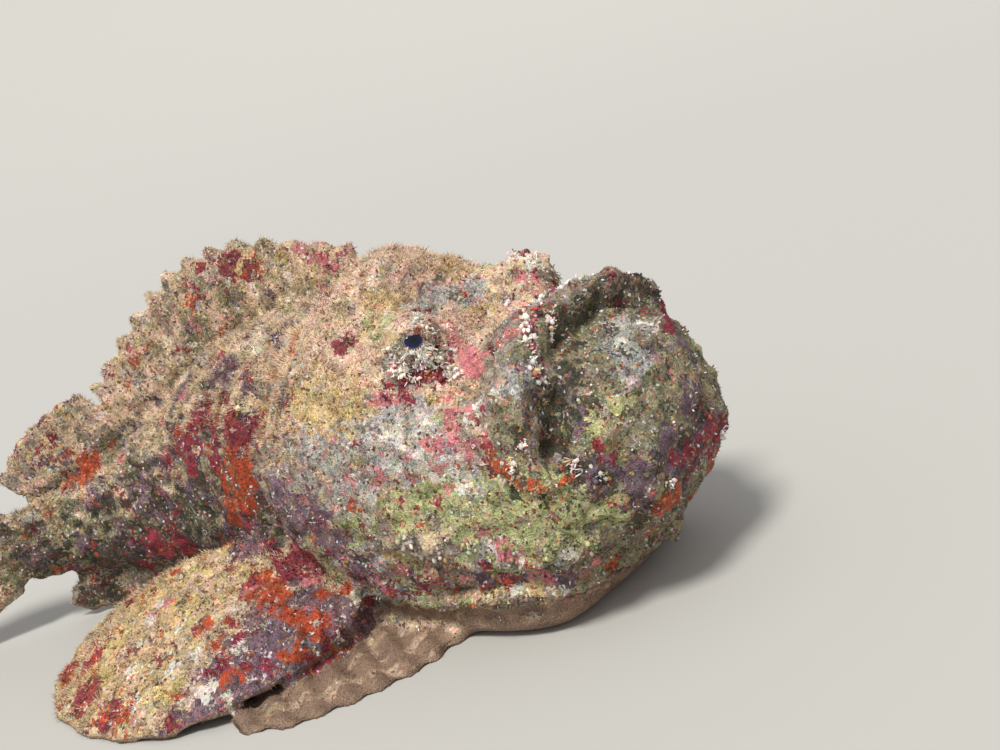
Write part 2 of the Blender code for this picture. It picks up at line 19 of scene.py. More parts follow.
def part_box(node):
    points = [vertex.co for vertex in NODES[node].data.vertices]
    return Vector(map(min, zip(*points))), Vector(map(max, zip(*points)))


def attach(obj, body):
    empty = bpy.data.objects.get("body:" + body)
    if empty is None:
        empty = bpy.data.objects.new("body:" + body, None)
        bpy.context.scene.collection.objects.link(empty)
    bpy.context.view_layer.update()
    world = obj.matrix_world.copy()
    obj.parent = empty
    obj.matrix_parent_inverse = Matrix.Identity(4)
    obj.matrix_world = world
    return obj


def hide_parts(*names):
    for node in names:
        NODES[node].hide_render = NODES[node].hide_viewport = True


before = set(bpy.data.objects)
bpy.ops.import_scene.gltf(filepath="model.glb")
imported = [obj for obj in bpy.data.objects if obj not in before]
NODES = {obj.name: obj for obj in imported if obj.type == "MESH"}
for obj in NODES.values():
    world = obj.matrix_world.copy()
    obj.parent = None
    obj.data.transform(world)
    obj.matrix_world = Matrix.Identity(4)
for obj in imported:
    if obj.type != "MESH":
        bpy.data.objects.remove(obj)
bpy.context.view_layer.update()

MM = 0.001

# %% [markdown]
# ## The fish's own measures
#
# The solids swing their tail to the fish's right, along an arc. Patterns and folds are easier to
# place on a straight fish, so one function turns any point back into (across, back, up) in
# millimetres: across from the midline, back from the chin, up from the floor.

# %% The straight fish
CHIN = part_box("lower_jaw")[0].y
BEND_START = 129.2
BEND_RADIUS = 195.2


def straight(points):
    """Points in metres as (across, back, up) in millimetres, with the tail swung back in line."""
    across = points[:, 0] / MM
    back = (points[:, 1] - CHIN) / MM
    reach = across + BEND_RADIUS
    turn = np.arctan2(back - BEND_START, reach)
    behind = back > BEND_START
    along = np.where(behind, BEND_START + turn * BEND_RADIUS, back)
    aside = np.where(behind, np.hypot(back - BEND_START, reach) - BEND_RADIUS, across)
    return np.stack([aside, along, points[:, 2] / MM], axis=1)


def swung(across, back, up):
    """Where a place behind the shoulders of the straight fish is on the bent one, in metres."""
    turn = (back - BEND_START) / BEND_RADIUS
    reach = BEND_RADIUS + across
    x = reach * math.cos(turn) - BEND_RADIUS
    y = BEND_START + reach * math.sin(turn)
    return Vector((x * MM, CHIN + y * MM, up * MM))


print("the tail swings from", BEND_START, "mm behind the chin, on a radius of", BEND_RADIUS, "mm")

# %% [markdown]
# ## The camera
#
# The camera comes first, because some markings are placed through it. It stands low at the
# fish's front right, and is rolled, so that the fish seems to lie on a slope. The photograph is
# 1000 pixels wide.

# %% Camera
PICTURE_WIDTH, PICTURE_HEIGHT = 1000, 750
LENS, SENSOR = 45.0, 36.0

camera_data = bpy.data.cameras.new("camera")
camera_data.lens = LENS
camera_data.sensor_width = SENSOR
camera = bpy.data.objects.new("camera", camera_data)
camera.location = (-0.2956, -0.3312, 0.1613)
camera.rotation_euler = [math.radians(a) for a in (75.796, 15.773, -54.489)]
bpy.context.scene.collection.objects.link(camera)
bpy.context.scene.camera = camera
bpy.context.view_layer.update()


def sight_line(x, y):
    """Where a pixel of the photograph looks from, and in which direction."""
    per_pixel = SENSOR / LENS / PICTURE_WIDTH
    ahead = Vector(((x - PICTURE_WIDTH / 2) * per_pixel, (PICTURE_HEIGHT / 2 - y) * per_pixel, -1.0))
    turn = camera.matrix_world.to_3x3()
    return camera.location.copy(), (turn @ ahead).normalized()


print("the camera stands", round(camera.location.z / MM), "mm above the floor")

# %% [markdown]
# ## One skin over the solids
#
# The solids meet with thin gaps, which a real fish doesn't have. Copies of the flesh solids are
# swollen by more than half a gap, so that they run into each other. Each eye gets a knob of flesh
# round it with a flat opening, a rim for its lids and a brow above. All of it is joined, and a
# voxel remesh turns it into one closed surface with even faces. Smoothing then takes the facets
# away. It is gentler on the thin fins and on the lids.

# %% Copies of the flesh
BODY_NODES = ["head", "upper_jaw", "lower_jaw", "throat"]
BODY_NODES += ["gill_cover_left", "gill_cover_right", "trunk", "tail_stalk"]
MIDLINE_FINS = ["dorsal_fin_spiny", "dorsal_fin_soft", "anal_fin", "tail_fin"]
PECTORAL_FINS = ["pectoral_fin_left", "pectoral_fin_right"]
PELVIC_FINS = ["pelvic_fin_left", "pelvic_fin_right"]
FLESH = BODY_NODES + MIDLINE_FINS + PECTORAL_FINS + PELVIC_FINS
SWELL = 0.6 * MM
VOXEL = 1.43 * MM


def select_only(*objects):
    bpy.ops.object.select_all(action="DESELECT")
    for obj in objects:
        obj.select_set(True)
    bpy.context.view_layer.objects.active = objects[0]


def plain_copy(node, name):
    """A free copy of a CAD node, with its loose triangles merged."""
    copy = bpy.data.objects.new(name, NODES[node].data.copy())
    copy.data.materials.clear()
    bpy.context.scene.collection.objects.link(copy)
    select_only(copy)
    bpy.ops.object.mode_set(mode="EDIT")
    bpy.ops.mesh.select_all(action="SELECT")
    bpy.ops.mesh.remove_doubles(threshold=0.01 * MM)
    bpy.ops.object.mode_set(mode="OBJECT")
    return copy


def apply_modifier(obj, kind, **settings):
    """Adds a modifier with its settings and applies it."""
    select_only(obj)
    modifier = obj.modifiers.new(kind, kind)
    for key, value in settings.items():
        setattr(modifier, key, value)
    bpy.ops.object.modifier_apply(modifier=modifier.name)


pieces = [plain_copy(node, "flesh_" + node) for node in FLESH]
for piece in pieces:
    apply_modifier(piece, "DISPLACE", strength=SWELL, mid_level=0.0)
print("copies of flesh solids:", len(pieces))

# %% Lids
# The ball shows through an opening about 6 mm wide, and is sunk in its knob up to the lids.
EYE_RADIUS = 6.0 * MM
KNOB_RADIUS = 7.7 * MM
OPENING_OUT = 4.2 * MM  # from the middle of the ball to the plane of the opening
LID_RING, LID_THICKNESS, LID_OUT = 4.1 * MM, 1.4 * MM, 4.5 * MM
BROW_RADIUS, BROW_OUT, BROW_UP = 1.7 * MM, 5.8 * MM, 3.4 * MM
BROW_STRETCH = 2.1
LOOKS_OUT, LOOKS_BACK, LOOKS_UP = 0.58, -0.72, 0.34


def gaze(side):
    """The direction in which an eye looks: out, forward and up."""
    return Vector((LOOKS_OUT * side, LOOKS_BACK, LOOKS_UP)).normalized()


def upward_of(look):
    """The direction on an eye that is nearest to straight up."""
    return (Vector((0, 0, 1)) - look * look.z).normalized()


EYES = {}
for name, side in (("eye_left", 1), ("eye_right", -1)):
    low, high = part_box(name)
    EYES[name] = ((low + high) / 2, gaze(side))

for centre, look in EYES.values():
    turn = look.to_track_quat("Z", "Y").to_euler()
    bpy.ops.object.select_all(action="DESELECT")
    bpy.ops.mesh.primitive_uv_sphere_add(
        segments=32, ring_count=16, radius=KNOB_RADIUS, location=centre, rotation=turn
    )
    knob = bpy.context.active_object
    bpy.ops.object.transform_apply(location=True, rotation=True, scale=True)
    bpy.ops.object.mode_set(mode="EDIT")
    bpy.ops.mesh.select_all(action="SELECT")
    bpy.ops.mesh.bisect(
        plane_co=centre + look * OPENING_OUT, plane_no=look, use_fill=True, clear_outer=True
    )
    bpy.ops.object.mode_set(mode="OBJECT")
    bpy.ops.object.select_all(action="DESELECT")
    bpy.ops.mesh.primitive_torus_add(
        location=centre + look * LID_OUT,
        rotation=turn,
        major_radius=LID_RING,
        minor_radius=LID_THICKNESS,
        major_segments=32,
        minor_segments=12,
    )
    ring = bpy.context.active_object
    brow_at = centre + look * BROW_OUT + upward_of(look) * BROW_UP
    bpy.ops.object.select_all(action="DESELECT")
    bpy.ops.mesh.primitive_uv_sphere_add(segments=16, ring_count=8, radius=BROW_RADIUS, location=brow_at)
    brow = bpy.context.active_object
    brow.rotation_euler = look.cross(upward_of(look)).to_track_quat("X", "Z").to_euler()
    brow.scale = (BROW_STRETCH, 1, 1)
    pieces += [knob, ring, brow]
print("eyes with a knob, lids and a brow:", len(EYES))

# %% Armpits
# Behind each breast fin's root, loose skin fills the hollow between the fin and the belly.
ARMPIT_AT = (60.0, 109.0, 7.0)  # across, back, up, in millimetres
ARMPIT_HALF = (25.0, 7.0, 7.5)
ARMPIT_TURN = math.radians(10)
for side in (1, -1):
    middle = Vector((side * ARMPIT_AT[0] * MM, CHIN + ARMPIT_AT[1] * MM, ARMPIT_AT[2] * MM))
    bpy.ops.object.select_all(action="DESELECT")
    bpy.ops.mesh.primitive_uv_sphere_add(segments=24, ring_count=12, radius=1.0, location=middle)
    armpit = bpy.context.active_object
    armpit.scale = [half * MM for half in ARMPIT_HALF]
    armpit.rotation_euler.z = side * ARMPIT_TURN
    pieces.append(armpit)
print("pieces to join:", len(pieces))

# %% Join and remesh
select_only(*pieces)
bpy.ops.object.join()
skin = bpy.context.active_object
skin.name = skin.data.name = "skin"
apply_modifier(skin, "REMESH", mode="VOXEL", voxel_size=VOXEL)
print("skin:", len(skin.data.vertices), "points,", len(skin.data.polygons), "faces")

# %% Which part each point belongs to
# A point is near an eye, or on a fin, from the first distance on, and fully so from the second.
NEAR_EYE_FROM, NEAR_EYE_FULL = 13.0, 9.0  # from the ball's middle, in millimetres
FIN_FROM, FIN_FULL = 1.2, 4.5  # from the body's solids, in millimetres
PELVIC_REACH = 1.4  # how far a pelvic fin's skin may lie from its solid, in millimetres


def read_points(mesh):
    flat = np.empty(len(mesh.vertices) * 3)
    mesh.vertices.foreach_get("co", flat)
    return flat.reshape(-1, 3)


def read_normals(mesh):
    flat = np.empty(len(mesh.vertices) * 3)
    mesh.vertex_normals.foreach_get("vector", flat)
    return flat.reshape(-1, 3)


def distance_to(points, nodes):
    """How far each point is from the surfaces of some CAD nodes, in millimetres."""
    corners, faces = [], []
    for node in nodes:
        start = len(corners)
        corners += [v.co.copy() for v in NODES[node].data.vertices]
        faces += [[start + i for i in face.vertices] for face in NODES[node].data.polygons]
    tree = BVHTree.FromPolygons(corners, faces)
    return np.array([tree.find_nearest(point)[3] for point in points]) / MM


def step(low, high, values):
    """0 below low, 1 above high, and a smooth rise between them."""
    t = np.clip((values - low) / (high - low), 0.0, 1.0)
    return t * t * (3 - 2 * t)


raw = read_points(skin.data)
from_body = distance_to(raw, BODY_NODES)
from_midline = distance_to(raw, MIDLINE_FINS)
from_pectoral = distance_to(raw, PECTORAL_FINS)
from_pelvic = distance_to(raw, PELVIC_FINS)
near_eye = np.zeros(len(raw))
for centre, _ in EYES.values():
    gap = np.linalg.norm(raw - np.array(centre), axis=1) / MM
    near_eye = np.maximum(near_eye, step(NEAR_EYE_FROM, NEAR_EYE_FULL, gap))
finness = step(FIN_FROM, FIN_FULL, from_body) * (1 - near_eye)
paired = (np.minimum(from_pectoral, from_pelvic) < from_midline) & (finness > 0)
pelvic = (from_pelvic < PELVIC_REACH) & (from_pectoral > from_pelvic) & (from_body > 1.0)
print("points on fins:", int((finness > 0.5).sum()), "on pelvic fins:", int(pelvic.sum()))

# %% Smooth the facets away
LIGHT_PASSES, BODY_PASSES = 3, 18


def smooth(obj, weights, passes):
    """Moves points towards their neighbours' middle where the weights say."""
    group = obj.vertex_groups.new(name="smooth")
    levels = np.round(weights * 10).astype(int)
    for level in range(1, 11):
        group.add(np.nonzero(levels == level)[0].tolist(), level / 10, "REPLACE")
    apply_modifier(obj, "SMOOTH", factor=0.5, iterations=passes, vertex_group="smooth")
    obj.vertex_groups.clear()


smooth(skin, 1 - 0.7 * finness - 0.6 * near_eye, LIGHT_PASSES)
smooth(skin, np.clip(1 - finness - near_eye, 0, 1), BODY_PASSES)
print("points away from fins and eyes:", int((finness + near_eye == 0).sum()))

# %% [markdown]
# ## An unwrap for the baked colours
#
# Each tuft of the coat will lie in the baked picture where its root lies on the skin. So the skin
# is unwrapped now, while it is still smooth and falls into few islands.

# %% Unwrap the skin
select_only(skin)
skin.data.uv_layers.new(name="OFBake")
bpy.ops.object.mode_set(mode="EDIT")
bpy.ops.mesh.select_all(action="SELECT")
bpy.ops.uv.smart_project(angle_limit=math.radians(66), island_margin=0.002)
bpy.ops.object.mode_set(mode="OBJECT")
print("unwrapped:", [layer.name for layer in skin.data.uv_layers])

# %% [markdown]
# ## Folds, lips and warts
#
# The skin lies inside the solids by the depth of the coat, deepest on the back where the algae
# are long. Then it gets its form, from large to small: loose lumps, ridges and creases along
# lines, and hundreds of warts. Each line is named by the pixels that it follows in the
# photograph, found on the skin through the camera, and repeated on the other side.

# %% Lines and points found through the camera
points = read_points(skin.data)
normals = read_normals(skin.data)
place = straight(points)
unbent = np.stack([points[:, 0] / MM, (points[:, 1] - CHIN) / MM, points[:, 2] / MM], axis=1)
place[paired] = unbent[paired]
across, back, up = place.T


def finder_over(spots):
    """A search tree that finds the spots near a place."""
    tree = KDTree(len(spots))
    for i, spot in enumerate(spots):
        tree.insert(spot, i)
    tree.balance()
    return tree


def surface_tree(mesh):
    return BVHTree.FromPolygons([v.co for v in mesh.vertices], [f.vertices for f in mesh.polygons])


finder = finder_over(points)
seen = surface_tree(skin.data)


def on_skin(x, y):
    """The point of the skin that a pixel of the photograph shows, or None."""
    origin, ahead = sight_line(x, y)
    return seen.ray_cast(origin, ahead)[0]


def other_side(point):
    """The same point on the fish's other side."""
    if point.y < CHIN + BEND_START * MM or paired[finder.find(point)[1]]:
        return Vector((-point.x, point.y, point.z))
    aside, along, height_up = straight(np.array([point]))[0]
    return swung(-aside, along, height_up)


def both_sides(pixels):
    """A line of pixels as a line on the skin, and the same line on the other side."""
    line = [hit for hit in (on_skin(x, y) for x, y in pixels) if hit]
    return [line, [other_side(point) for point in line]]


def from_line(line):
    """How far each point of the skin is from a line, in millimetres."""
    nearest = np.full(len(points), 1e9)
    for a, b in zip(line, line[1:]):
        start, along = np.array(a), np.array(b) - np.array(a)
        t = np.clip(((points - start) @ along) / max(along @ along, 1e-12), 0, 1)
        gap = np.linalg.norm(points - start - t[:, None] * along, axis=1)
        nearest = np.minimum(nearest, gap / MM)
    return nearest


print("length of the straightened fish, mm:", round(float(np.ptp(back))))

# %% How far the skin lies inside the solids
# The coat's depths on the jaws, the head, the back and the fins, in millimetres
COAT_ON_JAWS, COAT_ON_HEAD, COAT_ON_BACK, COAT_ON_FINS = 1.0, 1.6, 2.6, 0.4


def span(values):
    """The lowest and the highest of some values, to print."""
    return f"{values.min():.2f} to {values.max():.2f}"


underside = step(9.0, 4.0, up) * step(-0.2, -0.6, normals[:, 2])
coat_depth = COAT_ON_JAWS + (COAT_ON_HEAD - COAT_ON_JAWS) * step(20.0, 60.0, back)
coat_depth += (COAT_ON_BACK - COAT_ON_HEAD) * step(75.0, 110.0, back)
coat_depth = coat_depth * (1 - finness) + COAT_ON_FINS * finness
inward = (SWELL / MM + coat_depth) * (1 - underside) * (1 - near_eye)
print("depth of the coat, mm:", span(coat_depth))

# %% Lumps of loose skin
# Each set of lumps is (height, size) in millimetres
BIG_LUMPS, SMALL_LUMPS, GRAIN = (1.5, 20.0), (1.3, 8.0), (0.5, 3.6)


def field(size, seed, octaves=2):
    """Cloudy noise at every point of the skin, about -1 to 1, with lumps of a size in millimetres."""
    shift = Vector((seed * 17.3, seed * 5.1, seed * 9.7))
    return np.array([noise.fractal(Vector(p) + shift, 0.6, 2.0, octaves) for p in points / (size * MM)])


bare = np.maximum(underside, pelvic)
loose = (1 - finness) * (1 - bare) * (1 - near_eye)
height = BIG_LUMPS[0] * field(BIG_LUMPS[1], 1) * loose
height += SMALL_LUMPS[0] * field(SMALL_LUMPS[1], 2) * loose
height += GRAIN[0] * field(GRAIN[1], 3) * (1 - bare) * (1 - 0.5 * finness) * (1 - 0.9 * near_eye)
print("height of the lumps, mm:", span(height))

# %% Ridges and creases along lines
# The lines of the lips stop at the midline, and their other halves are the same on the other side.
UPPER_LIP = [(544, 385), (533, 372), (528, 344), (528, 325), (536, 300), (561, 290)]
LOWER_LIP = [(592, 402), (585, 362), (588, 340), (600, 324), (604, 322)]
MOUTH = [(556, 440), (556, 400), (558, 355), (570, 320), (577, 312)]
JAW_RIM = [(500, 474), (515, 486), (545, 490), (568, 478)]
JAW_FOLD = [(440, 601), (487, 596), (526, 589), (584, 583), (622, 561), (664, 531)]
JAW_FOLD_EDGE = [(440, 608), (487, 603), (526, 596), (584, 590), (622, 568), (668, 534)]
LIP_EDGE = [(655, 340), (661, 352), (655, 370), (632, 388), (607, 404), (594, 413)]
# Each fold is its height and half width in millimetres, and the pixels that it follows
FOLDS = (
    (1.3, 2.1, UPPER_LIP),
    (-1.9, 2.0, MOUTH),
    (-1.8, 2.2, [(578, 350), (584, 322), (600, 304), (630, 300), (654, 316), (664, 340)]),  # chin's dome
    (1.2, 1.8, LOWER_LIP),
    (2.2, 3.0, [(574, 458), (573, 420), (571, 390), (572, 360), (578, 336)]),  # slope of the lower lip
    (-2.4, 3.0, [(554, 448), (552, 425), (551, 405)]),  # pit at the corner of the mouth
    (1.7, 2.3, JAW_RIM),
    (-1.8, 1.5, [(494, 482), (515, 496), (546, 500), (575, 486)]),  # crease below the upper jaw
    (1.3, 2.6, [(486, 395), (483, 430), (492, 462)]),  # hind edge of the upper jaw
    (-1.0, 1.6, [(476, 380), (472, 425), (482, 462)]),
    (1.0, 1.2, LIP_EDGE),
    (-1.8, 1.6, JAW_FOLD),
    (1.6, 1.5, JAW_FOLD_EDGE),  # the fold's free edge hangs over the crease
    (1.5, 2.5, [(385, 548), (430, 560), (480, 572), (540, 566), (600, 545)]),  # low edge of the cheek
    (-1.5, 1.8, [(382, 558), (430, 571), (480, 583), (540, 576), (604, 553)]),
    (-1.3, 1.8, [(478, 320), (476, 350), (486, 380)]),  # behind the snout
    (1.5, 2.2, [(444, 326), (461, 345), (482, 372)]),  # ridge from the eye to the snout
    (-1.6, 3.0, [(448, 300), (470, 292), (492, 296)]),  # hollow between the eyes
    (-1.3, 1.7, [(382, 380), (400, 402), (430, 408), (458, 392)]),  # bag under the eye
    (-1.5, 2.4, [(332, 430), (340, 480), (352, 528), (366, 565)]),  # behind the cheek
    (-4.5, 8.0, [(714, 474), (694, 518), (668, 556), (634, 592)]),  # the chin draws in below
)
for rise, half_width, pixels in FOLDS:
    for line in both_sides(pixels):
        height += rise * np.exp(-((from_line(line) / half_width) ** 2)) * (1 - finness)
print("ridges and creases:", len(FOLDS), "on each side")

# %% Mounds of loose skin along the cheek's low edge
# Each mound is (pixel across, pixel down, radius in millimetres)
MOUNDS = (
    (404, 540, 4.5), (432, 549, 5.5), (468, 546, 4.5), (503, 556, 5.0), (545, 550, 5.5), (590, 540, 5.0),
)
MOUND_RISE = 2.4
for x, y, radius in MOUNDS:
    for middle in (on_skin(x, y), other_side(on_skin(x, y))):
        gap = np.linalg.norm(points - np.array(middle), axis=1) / (radius * MM)
        height += MOUND_RISE * step(1.0, 0.3, gap)
print("mounds:", len(MOUNDS), "on each side, rising", MOUND_RISE, "mm")

# %% Rays of the fins
# A fin's rays fan out from its root, and each lifts the skin a little. The rays of the pectoral
# fins and the tail fan out so far that they are counted in a full turn. The others are nearly
# side by side, so their slant is given, in radians of their wave for a millimetre.
RAY_RISE = 0.55
PECTORAL_CENTRE, PECTORAL_RAYS = (47.0, 121.0), 30.0  # across and back, in millimetres
TAIL_CENTRE, TAIL_RAYS = (272.0, 34.0), 26.0  # back and up, in millimetres
PELVIC_SLANT = (0.55, 0.35)  # across and back
SOFT_SLANT = (0.75, 0.4)  # back and down
SOFT_FROM, TAIL_FROM = 225.0, 287.0
swing = np.arctan2(back - PECTORAL_CENTRE[1], np.abs(across) - PECTORAL_CENTRE[0])
tail_swing = np.arctan2(up - TAIL_CENTRE[1], back - TAIL_CENTRE[0])
on_tail = back > TAIL_FROM
pelvic_wave = np.cos(np.abs(across) * PELVIC_SLANT[0] + back * PELVIC_SLANT[1])
soft_wave = np.cos(back * SOFT_SLANT[0] - up * SOFT_SLANT[1])
height += RAY_RISE * np.cos(swing * PECTORAL_RAYS) * finness * paired * (1 - pelvic)
height += 2 * RAY_RISE * pelvic_wave * finness * pelvic
height += RAY_RISE * np.cos(tail_swing * TAIL_RAYS) * finness * (~paired) * on_tail
height += RAY_RISE * soft_wave * finness * (~paired) * (~on_tail) * (back > SOFT_FROM)
print("points on the tail fin:", int(on_tail.sum()))

# %% Warts
# A wart is a round hump. Its radius is in millimetres, and its lift is a share of its radius.
WARTS = 1500
WART_RADII, WART_LIFTS = (1.8, 4.4), (0.2, 0.42)
LOWEST = 0.05 * MM  # how far the skin stays above the floor
rng = np.random.default_rng(7)
wart_weight = (1 - bare) * (1 - 0.7 * finness) * (1 - near_eye)
for i in rng.choice(len(points), WARTS, replace=False, p=wart_weight / wart_weight.sum()):
    radius = rng.uniform(*WART_RADII)
    lift = radius * rng.uniform(*WART_LIFTS)
    for _, k, gap in finder.find_range(points[i], radius * MM):
        height[k] += lift * (1 - (gap / MM / radius) ** 2) ** 2 * wart_weight[k]

moved = points + normals * ((height - inward) * MM)[:, None]
moved[:, 2] = np.maximum(moved[:, 2], LOWEST)
skin.data.vertices.foreach_set("co", moved.ravel())
skin.data.update()
skin.data.shade_smooth()
print("height of the folds and warts, mm:", span(height))

# %% [markdown]
# ## Markings
#
# A living reef grows on this fish, so its colours lie in patches with broken edges: tan algae on
# the back, yellow-green on the cheeks, and crusts of crimson, orange and pink. Each patch is a
# place that the photograph shows and a radius. It is found through the camera, and repeated on
# the side that the photograph doesn't show. Broad cloudy fields fill in the rest. Every pigment
# is one number from 0 to 1 at each point, and the shader later turns the numbers to colours.

